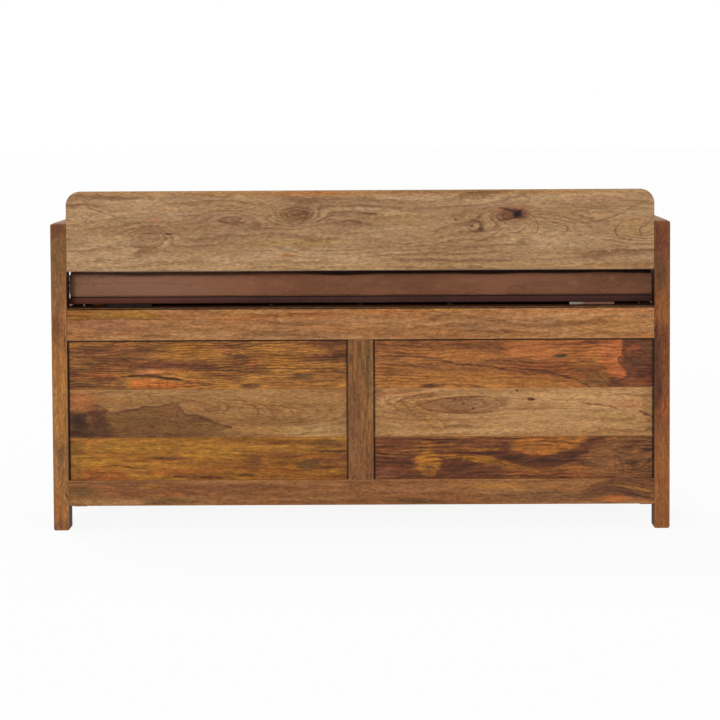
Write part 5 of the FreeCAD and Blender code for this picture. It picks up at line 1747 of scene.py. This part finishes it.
    def sewn(self, piece: Piece, normals: Sequence[Vector]) -> None:
        """Presses the seams, the boxing's joint and its creases into the cover.

        Args:
            piece: the pad.
            normals: its points' normals.
        """
        draw = random.Random(5)
        puckers = [(draw.uniform(-0.5, 0.5), draw.uniform(4, 9) * MM, draw.uniform(0.3, 0.9))
                   for _ in range(70)]
        for vertex, normal in zip(piece.data.vertices, normals):
            p = vertex.co
            edge = self.edge_distance(p)
            if edge > 16 * MM or p.z < self.base + 0.6 * MM:
                continue
            run = p.x if min(p.y - self.front, self.back - p.y) < self.half_wide - abs(p.x) else p.y
            off = p.z - self.seam_level(p.x)
            push = (-1.5 * bell(off, 1.5 * MM) + 0.55 * bell(off - 4 * MM, 2.2 * MM)
                    + 0.45 * bell(off + 4 * MM, 2.4 * MM))
            push -= 0.3 * bell(p.z - self.foot_level(p.x), 1.6 * MM)
            for x, width, depth in puckers:
                if abs(run - x) < 3 * width:
                    push -= depth * 0.5 * bell(run - x, width) * bell(off + 5 * MM, 7 * MM)
            if edge < 8 * MM and off < -2 * MM:
                crease = 437 * MM + 1.5 * MM * math.sin(p.x * 19)
                push -= 0.75 * bell(p.z - crease, 1.6 * MM) * bell(p.x - 0.39, 0.13)
                push += 0.45 * bell(p.z - crease - 3 * MM, 2.2 * MM) * bell(p.x - 0.39, 0.13)
                for height, deep, x, wide in self.creases:
                    push -= 0.6 * bell(p.z - height * MM, deep * MM) * bell(p.x - x, wide)
                for high, x, wide in self.joint_relief:
                    push += high * bell(p.x - self.joint - x * MM, wide * MM)
            vertex.co = p + normal * push * MM

    def stitches(self) -> Piece:
        """Makes the thread that shows along the top seam."""
        points = outline(self.half_wide, self.front, self.back, self.corner, self.belly, 0.5 * MM)
        work = bmesh.new()
        travelled, wanted = 0.0, 3 * MM
        for point, after in zip(points, points[1:] + points[:1]):
            step = after - point
            travelled += step.length
            if travelled < wanted:
                continue
            wanted += self.stitch_length + self.stitch_gap
            middle = point - Vector((step.y, -step.x, 0)).normalized() * 0.5 * MM
            middle.z = self.seam_level(point.x) - 2.4 * MM
            stitch(work, middle, step.normalized(), self.stitch_length, self.stitch_radius)
        return worked("seat_pad_thread", work)

    def build(self) -> None:
        """Builds the pad and its thread, and puts both on the lid."""
        pad = self.shell("seat_pad", self.spacing, self.sides, self.top_rings, 0.0)
        shift_at = self.swollen()
        for vertex in pad.data.vertices:
            if vertex.co.z > self.base + 1 * MM:
                vertex.co += shift_at(vertex.co) * 0.8
        pad.data.update()
        self.sewn(pad, [v.normal.copy() for v in pad.data.vertices])
        for vertex in pad.data.vertices:
            self.keep_in(vertex.co)
        pad.data.update()
        self.darken(pad)
        put_on(pad, PAD_LEATHER.material())
        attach(pad, "lid")
        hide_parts("cushion_cover", "cushion_foam")
        thread = self.stitches()
        put_on(thread, ThreadFinish().material())
        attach(thread, "lid")
        report.info("seat pad: %d faces, thread: %d faces", len(pad.data.polygons), len(thread.data.polygons))

    def darken(self, pad: Piece) -> None:
        """Stores where the pad is painted dark: along its top seam, and over the strip along its back edge as
        painted shade of the backrest.

        Args:
            pad: the pad.
        """
        shares = []
        for vertex in pad.data.vertices:
            p = vertex.co
            edge, above = self.edge_distance(p), p.z - self.seam_level(p.x)
            # Along the back edge the painted shade reaches 14 mm in; elsewhere only the seam's 4.5 mm is
            # dark.
            reach = 14 * MM if self.back - p.y < edge + 1 * MM else 4.5 * MM
            left = held_at((p.x - 0.05) / 0.12)
            share = held_at((above + (2.6 - 1.2 * left) * MM) / (2.0 * MM))
            share *= held_at((reach - edge) / (3 * MM))
            shares.append(share * (0.92 - 0.24 * left))
        pad.data.attributes.new("seam", "FLOAT", "POINT").data.foreach_set("value", shares)

    def keep_in(self, point: Vector) -> None:
        """Keeps a point of the pad clear of the arms and of the backrest that it passes when it lifts.

        Args:
            point: the point, which is changed.
        """
        point.x = max(-self.reach, min(self.reach, point.x))
        point.y = max(self.first, min(self.last, point.y))
        share = held_at((point.y - self.slope_from) / self.slope)
        ceiling = self.ceiling + (self.back_ceiling - self.ceiling) * share
        if point.z > ceiling:
            point.z = ceiling - 0.4 * MM + 0.4 * MM * math.exp(-(point.z - ceiling) / MM)
        point.z = max(self.base, point.z)


@dataclass
class PaddedLid(Padded):
    """What carries the pad: the board's leather wrap, its turned-under border, staples and the lining."""

    low: float = 402.5 * MM
    high: float = 417 * MM
    leather: float = 1.4 * MM
    edge: float = 1.6 * MM
    welt: float = 1.2 * MM
    groove: tuple[Pair, ...] = ((0.1, 416.2), (0.6, 415.4), (1.3, 414.6), (0.7, 413.8), (0.1, 412.8),
                                (-0.4, 411.0), (-0.4, 409.0))
    border: float = 40 * MM
    staple_inset: float = 33 * MM
    staple_length: float = 10 * MM
    staple_radius: float = 0.45 * MM
    hinge_at: float = 414 * MM
    hinge_clear: float = 52 * MM
    stay_clear: float = 60 * MM
    lining_grid: tuple[int, int] = (97, 28)
    lining_thickness: float = 0.35 * MM

    def wrap(self) -> Piece:
        """Builds the wrap, a strip of leather that goes over the edge and under the board."""
        reach = self.border
        path: list[Pair] = [(reach + 12 * MM, self.high), (reach, self.high)]
        path += [(reach * share, self.high) for share in (0.7, 0.45, 0.25, 0.14)]
        top = self.welt
        for step in range(7):
            angle = math.radians(90 - 15 * step)
            path.append((top - top * math.cos(angle), self.high - top + top * math.sin(angle)))
        path += [(inset * MM, height * MM) for inset, height in self.groove]
        edge, leather = self.edge, self.leather
        for step in range(7):
            angle = math.radians(15 * step)
            path.append((edge - edge * math.cos(angle), self.low + edge - edge * math.sin(angle)))
        path += [(reach * share, self.low) for share in (0.14, 0.25, 0.45, 0.7, 0.97)]
        path.append((reach, self.low + leather * 0.5))
        back = [(reach * 0.97, self.low + leather), (edge + leather, self.low + leather),
                (leather, self.low + edge + 1 * MM), (leather, self.high - edge - 1 * MM),
                (edge + leather, self.high - leather), (reach, self.high - leather),
                (reach + 12 * MM, self.high - leather)]
        rings = []
        for number, (inset, height) in enumerate(path + back):
            ring = []
            for q in self.ring(inset, 0.0, 5 * MM):
                slack = 0.0
                if number < len(path):
                    slack = (math.sin(q.x * 61 + q.y * 40) + math.sin(q.x * 23 - q.y * 71 + 1)) * 0.14 * MM
                if height > self.high - 1 * MM:
                    slack = -abs(slack)
                elif height < self.low + 1 * MM:
                    slack = abs(slack)
                ring.append(Vector((q.x, q.y, height + slack)))
            rings.append(ring)
        return skin("lid_wrap", rings, closed=True)

    def staples(self) -> Piece:
        """Makes the wire staples that hold the leather to the board's underside."""
        work = bmesh.new()
        middle_y = (self.front + self.back) / 2
        inner_x = self.half_wide - self.staple_inset
        inner_y = (self.back - self.front) / 2 - self.staple_inset
        spots: list[tuple[float, float, bool]] = []
        for count, along_x in ((20, True), (6, False)):
            for step in range(count):
                share = (step + 0.5) / count * 2 - 1
                for side in (-1, 1):
                    x, y = (share, side) if along_x else (side, share)
                    spots.append((x * inner_x, middle_y + y * inner_y, along_x))
        draw = random.Random(8)
        for x, y, along_x in spots:
            under_hinge = abs(abs(x) - self.hinge_at) < self.hinge_clear and y > 0.1
            if under_hinge or not along_x and abs(y) < self.stay_clear:
                continue
            turn = draw.uniform(-0.25, 0.25) + (0 if along_x else math.pi / 2)
            way = Vector((math.cos(turn), math.sin(turn), 0))
            point = Vector((x, y, self.low - 0.18 * MM))
            stitch(work, point, way, self.staple_length, self.staple_radius)
        return worked("lid_staples", work)

    def lining(self) -> Piece:
        """Makes the lining: one sheet whose middle hangs a little."""
        low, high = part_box("lid_lining")
        columns, rows = self.lining_grid
        points, faces = [], []
        for row in range(rows + 1):
            for column in range(columns + 1):
                x = low.x + (high.x - low.x) * column / columns
                y = low.y + (high.y - low.y) * row / rows
                away = min(x - low.x, high.x - x, y - low.y, high.y - y)
                wave = 0.5 + 0.5 * math.sin(x * 70 + 3 * math.sin(y * 40))
                droop = 0.35 * MM * wave * min(1, away / (25 * MM))
                points.append((x, y, low.z + 0.4 * MM - droop * 0.9))
        for row in range(rows):
            for column in range(columns):
                a = row * (columns + 1) + column
                faces.append((a, a + 1, a + columns + 2, a + columns + 1))
        made = drawn("lid_lining_cloth", points, faces)
        thick = made.modifiers.new("thickness", "SOLIDIFY")
        thick.thickness, thick.offset = self.lining_thickness, 0.0
        applied(made)
        return made

    def build(self, nodes: dict[str, Piece]) -> None:
        """Builds the wrap, the staples and the lining, and dresses the board.

        Args:
            nodes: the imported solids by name.
        """
        wrap = self.wrap()
        put_on(wrap, LID_LEATHER.material())
        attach(wrap, "lid")
        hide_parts("lid_leather_wrap")
        staples = self.staples()
        put_on(staples, BRIGHT_STEEL.material("steel_staples"))
        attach(staples, "lid")
        lining = self.lining()
        put_on(lining, ClothFinish().material())
        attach(lining, "lid")
        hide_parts("lid_lining")
        put_on(nodes["lid_board"], PlywoodFinish().material("plywood_lid"))
        report.info("lid: wrap %d faces", len(wrap.data.polygons))


@dataclass(frozen=True)
class ClothFinish:
    """Black bonded cloth: matted fibres with a little lint."""

    dark: Colour = tone(26, 25, 25)
    light: Colour = tone(58, 56, 55)
    lint: Colour = tone(120, 114, 106)

    def material(self) -> bpy.types.Material:
        """Builds the material."""
        material, t, shader, here = new_material("bonded_cloth")
        mat_fibres = t.noise(here, (1400, 500, 900), 3.0, 0.7, 2.0)
        dots = t.node("TexVoronoi", {"Vector": here, "Scale": 420.0}).outputs["Distance"]
        dust = t.group(Effects.dust(), Place=here)
        colour = t.mix(t.span(mat_fibres, 0.35, 0.75), self.dark, self.light)
        colour = t.mix(t.times(dust["Speck"], 0.3), colour, self.lint)
        height = t.math("ADD", mat_fibres, t.span(dots, 0.1, 0.4, 0.0, 0.7))
        t.surface(shader, colour, t.blend(mat_fibres, 0.2, 0.75), height, (0.5, 0.0003))
        return material


# ------------------------------------------------------------------------------------------
# Metal and rubber
# ------------------------------------------------------------------------------------------


@dataclass(frozen=True)
class SteelFinish:
    """Plated steel: fine scratches, dull patches, and brown bloom where it has aged."""

    bright: Colour
    bloom: Colour
    aged: float
    roughness: float = 0.38
    metallic: float = 1.0
    spread: Pair | None = None

    def material(self, name: str) -> bpy.types.Material:
        """Builds the material under a name.

        Args:
            name: the material's name.

        Returns:
            The material.
        """
        material, t, shader, here = new_material(name)
        scratch = t.noise(here, (60, 1500, 1500), 2.0, 0.6)
        dust = t.group(Effects.dust(), Place=here)
        rust = t.times(t.span(t.noise(here, (38, 38, 38), 5.0, 0.65), 0.42, 0.66), self.aged)
        if self.spread:
            rust = t.most(rust, t.span(t.axes(here)[0], *self.spread, 0.95, 0.0))
        colour = t.scaled(t.mix(rust, self.bright, self.bloom), t.span(scratch, 0.3, 0.7, 0.86, 1.06))
        t.fill(shader, {"Metallic": t.blend(rust, -0.75 * self.metallic, self.metallic)})
        rough = t.blend(rust, 0.3, t.blend(dust["Smear"], 0.2, self.roughness - 0.05))
        t.surface(shader, colour, t.blend(scratch, 0.12, rough), t.blend(rust, 0.8, scratch), (0.25, 0.0002),
                  0.5 if self.metallic > 0.5 else 0.08)
        return material


# Painted shade: the batten's screws take this black steel so that they stay dark in the shaded gap under the
# lid.
BLACK_STEEL = SteelFinish(tone(28, 25, 24), tone(46, 34, 30), 0.4, roughness=0.6, metallic=0.2)
BRIGHT_STEEL = SteelFinish(tone(186, 184, 180), tone(122, 92, 74), 0.25)
# Painted shade: a dark copy of the hinges' steel, for the hinge that stands in shade.
HINGE_STEEL = SteelFinish(tone(34, 30, 28), tone(54, 40, 34), 0.6, roughness=0.65, metallic=0.2)
SHOWN_STEEL = SteelFinish(tone(150, 138, 126), tone(122, 84, 66), 0.2, roughness=0.6, metallic=0.15,
                          spread=(-0.404, -0.390))


@dataclass(frozen=True)
class RubberFinish:
    """Black rubber with a dull bloom."""

    colour: Colour = tone(24, 22, 21)
    bloom: Colour = tone(40, 36, 34)

    def material(self) -> bpy.types.Material:
        """Builds the material."""
        material, t, shader, here = new_material("bumper_rubber")
        dust = t.group(Effects.dust(), Place=here)
        colour = t.mix(t.times(dust["Smear"], 0.6), self.colour, self.bloom)
        t.surface(shader, colour, t.blend(dust["Smear"], 0.15, 0.62), t.noise(here, (900, 900, 900), 2.0),
                  (0.3, 0.0002), 0.08)
        return material


@dataclass
class Ironmongery:
    """Hinges, stays, studs, screws and bumpers."""

    nodes: dict[str, Piece]

    def islands(self, name: str) -> list[list[Vector]]:
        """The separate solids in a node, each as its points.

        Args:
            name: the node.

        Returns:
            The points of each solid.
        """
        work = bmesh.new()
        work.from_mesh(self.nodes[name].data)
        bmesh.ops.remove_doubles(work, verts=work.verts, dist=1e-6)
        seen: set[int] = set()
        work.verts.index_update()
        found = []
        for vertex in work.verts:
            if vertex.index in seen:
                continue
            stack, points = [vertex], []
            seen.add(vertex.index)
            while stack:
                here = stack.pop()
                points.append(here.co.copy())
                for edge in here.link_edges:
                    other = edge.other_vert(here)
                    if other.index not in seen:
                        seen.add(other.index)
                        stack.append(other)
            found.append(points)
        work.free()
        return found

    def screws(self, name: str, body: str) -> None:
        """Replaces a node of plain screws by screws with a cross recess and a thread.

        Args:
            name: the node.
            body: the body that it rides on.
        """
        work = bmesh.new()
        for points in self.islands(name):
            spread = [max(p[a] for p in points) - min(p[a] for p in points) for a in range(3)]
            axis = max(range(3), key=lambda a: spread[a])
            low, high = min(p[axis] for p in points), max(p[axis] for p in points)
            others = [a for a in range(3) if a != axis]
            centre = [(min(p[a] for p in points) + max(p[a] for p in points)) / 2 for a in range(3)]

            def radius_near(end: float) -> float:
                """The solid's radius at one end."""
                return max(math.dist((p[others[0]], p[others[1]]), (centre[others[0]], centre[others[1]]))
                           for p in points if abs(p[axis] - end) < 1e-5)

            end, tip = (high, low) if radius_near(high) > radius_near(low) else (low, high)
            place, way = Vector(centre), Vector((0, 0, 0))
            place[axis], way[axis] = end, 1.0 if end == high else -1.0
            head = radius_near(end)
            self.one_screw(work, place, way, abs(end - tip), head, min(radius_near(tip), head * 0.6))
        made = worked(f"{name}_turned", work, smooth=False)
        # The batten's screws are black for painted shade; the others are bright.
        put_on(made, (BLACK_STEEL if name == "batten_screws" else BRIGHT_STEEL).material(f"steel_{name}"))
        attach(made, body)
        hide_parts(name)
        report.info("%s: %d faces", name, len(made.data.polygons))

    @staticmethod
    def one_screw(work: bmesh.types.BMesh, place: Vector, way: Vector, length: float, head: float,
                  shank: float) -> None:
        """Adds a countersunk screw with a cross recess and a thread.

        Args:
            work: the mesh that it goes into.
            place: the middle of its head's face.
            way: the direction out of the head.
            length: its length.
            head: its head's radius.
            shank: its shank's radius.
        """
        turn = way.to_track_quat("Z", "Y").to_matrix()
        count = 24
        arm, root, pitch = head * 0.62, head * 0.17, 1.6 * MM

        def vert(reach: float, i: int, depth: float) -> bmesh.types.BMVert:
            """One point at a depth under the face."""
            angle = i * math.tau / count
            spot = Vector((reach * math.cos(angle), reach * math.sin(angle), -depth))
            return work.verts.new(place + turn @ spot)

        def ring(radius: float, depth: float) -> list[bmesh.types.BMVert]:
            """A round ring."""
            return [vert(radius, i, depth) for i in range(count)]

        def cross(scale: float, depth: float) -> list[bmesh.types.BMVert]:
            """The recess's outline, with as many points as a ring."""
            quarters = [(i * math.tau / count + math.pi / 4) % (math.pi / 2) - math.pi / 4
                        for i in range(count)]
            return [vert(min(arm * scale, root * scale / max(abs(math.sin(q)), 1e-6)), i, depth)
                    for i, q in enumerate(quarters)]

        turns = max(2, int(length * 0.55 / pitch))
        start = length - turns * pitch - shank
        rings = [cross(0.55, head * 0.62), cross(1.0, 0.0), ring(head * 0.97, 0.0), ring(head, head * 0.05),
                 ring(shank, min(length * 0.4, head * 1.05 - shank))]
        for step in range(turns):
            rings += [ring(shank * 0.72, start + step * pitch), ring(shank, start + (step + 0.5) * pitch)]
        rings.append(ring(shank * 0.12, length))
        for first, second in zip(rings, rings[1:]):
            strip(work, first, second)
        work.faces.new(rings[0][::-1])
        work.faces.new(rings[-1])

    def build(self) -> None:
        """Dresses the metal and rubber solids and makes the screws."""
        # The right-hand hinge and the pins take the dark copy of the steel: painted shade.
        plain = HINGE_STEEL.material("steel_hinges_painted_shade")
        shown = SHOWN_STEEL.material("steel_left_hinge")
        stay = BRIGHT_STEEL.material("steel_stays")
        for finish, names in (
                (shown, ("left_hinge_frame_leaf", "left_hinge_lid_leaf")),
                (plain, ("right_hinge_frame_leaf", "right_hinge_lid_leaf", "hinge_pins")),
                (stay, ("left_lid_stay", "right_lid_stay", "lid_stay_studs"))):
            for name in names:
                put_on(self.nodes[name], finish)
        put_on(self.nodes["lid_bumpers"], RubberFinish().material())
        for name, body in (("batten_screws", "frame"), ("floor_screws", "frame"),
                           ("hinge_frame_screws", "frame"), ("lid_screws", "lid")):
            self.screws(name, body)


# ------------------------------------------------------------------------------------------
# Studio
# ------------------------------------------------------------------------------------------


@dataclass
class Studio:
    """The camera, the lamps, the world and the floor."""

    camera_at: tuple[float, float, float] = (-0.054, 5.778, 0.739)
    yaw: float = 0.565
    pitch: float = 4.465
    roll: float = 0.315
    lens: float = 157.25
    floor_half: float = 60.0
    world_level: float = 0.42
    lamps: tuple[tuple[str, float, float, float, float], ...] = (
        ("key_lamp", 1.62, 77, 13, 12), ("fill_lamp", 0.35, 115, 25, 50), ("front_lamp", 0.9, -70, 40, 20))

    def camera(self) -> None:
        """Places the camera where the photograph was taken from, behind the bench."""
        right, up, ahead = Vector((-1, 0, 0)), Vector((0, 0, 1)), Vector((0, -1, 0))
        (c, s), (d, r), (e, u) = ((math.cos(math.radians(a)), math.sin(math.radians(a)))
                                  for a in (self.yaw, self.pitch, self.roll))
        right, ahead = right * c + ahead * s, ahead * c - right * s
        ahead, up = ahead * d - up * r, up * d + ahead * r
        right, up = right * e - up * u, up * e + right * u
        turn = Matrix((right, up, -ahead)).transposed().to_4x4()
        data = bpy.data.cameras.new("camera")
        data.lens, data.sensor_width, data.clip_end = self.lens, 36.0, 200.0
        made = bpy.data.objects.new("camera", data)
        bpy.context.scene.collection.objects.link(made)
        made.matrix_world = Matrix.Translation(self.camera_at) @ turn
        bpy.context.scene.camera = made

    def lamp(self, name: str, level: float, azimuth: float, elevation: float, softness: float) -> None:
        """Adds a soft far lamp.

        Args:
            name: its name.
            level: its strength.
            azimuth: where it stands, in degrees from +X towards +Y.
            elevation: its height in degrees.
            softness: its apparent size in degrees.
        """
        data = bpy.data.lights.new(name, "SUN")
        data.energy, data.angle = level, math.radians(softness)
        made = bpy.data.objects.new(name, data)
        a, e = math.radians(azimuth), math.radians(elevation)
        towards = Vector((math.cos(a) * math.cos(e), math.sin(a) * math.cos(e), math.sin(e)))
        made.rotation_mode = "QUATERNION"
        made.rotation_quaternion = towards.to_track_quat("Z", "Y")
        bpy.context.scene.collection.objects.link(made)

    def world(self) -> None:
        """Lights the room evenly, and shows it white to the camera, in gloss and through glass."""
        world = bpy.data.worlds.new("room")
        world.use_nodes = True
        world.node_tree.nodes.clear()
        t = Tree(world.node_tree)
        light, shown = (t.node("Background", {"Color": (1, 1, 1, 1), "Strength": level})
                        for level in (self.world_level, 1.0))
        t.node("OutputWorld", {"Surface": self.seen_or_lit(t, light, shown)})
        bpy.context.scene.world = world

    @staticmethod
    def seen_or_lit(t: Tree, lit: bpy.types.Node, seen: bpy.types.Node) -> Socket:
        """Mixes two shaders: one for light that falls on things, one for what is looked at.

        Args:
            t: the tree.
            lit: the shader that lights.
            seen: the shader that the camera, gloss and glass show.

        Returns:
            The mixed shader.
        """
        path = t.node("LightPath").outputs
        share = t.most(path["Is Camera Ray"], path["Is Glossy Ray"])
        share = t.most(share, path["Is Transmission Ray"])
        return t.node("MixShader", {0: share, 1: lit.outputs[0], 2: seen.outputs[0]}).outputs[0]

    def floor(self) -> None:
        """Lays a pale floor that keeps a faint shadow of the bench."""
        half = self.floor_half
        made = drawn("floor", [(-half, -half, 0), (half, -half, 0), (half, half, 0), (-half, half, 0)],
                     [(0, 1, 2, 3)], smooth=False)
        material = bpy.data.materials.new("pale_floor")
        material.use_nodes = True
        material.node_tree.nodes.clear()
        t = Tree(material.node_tree)
        lit = t.node("BsdfDiffuse", {"Color": (0.82, 0.82, 0.82, 1)})
        shade = t.node("BsdfDiffuse", {"Color": (0.10, 0.10, 0.10, 1)})
        glow = t.node("Emission", {"Color": (1, 1, 1, 1), "Strength": 0.91})
        seen = t.node("AddShader", {0: shade.outputs[0], 1: glow.outputs[0]})
        t.node("OutputMaterial", {"Surface": self.seen_or_lit(t, lit, seen)})
        made.data.materials.append(material)

    def build(self) -> None:
        """Sets the stage."""
        self.camera()
        for lamp in self.lamps:
            self.lamp(*lamp)
        self.world()
        self.floor()
        bpy.context.scene.view_settings.view_transform = "Standard"


def main() -> None:
    logging.basicConfig(level=logging.INFO, format="%(name)s: %(message)s")
    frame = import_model()
    nodes = frame["nodes"]
    Studio().build()
    Timber(nodes).dress()
    put_on(nodes["storage_floor"], PlywoodFinish().material("plywood_floor"))
    Ironmongery(nodes).build()
    PaddedLid().build(nodes)
    SeatPad().build()


if __name__ == "__main__":
    main()
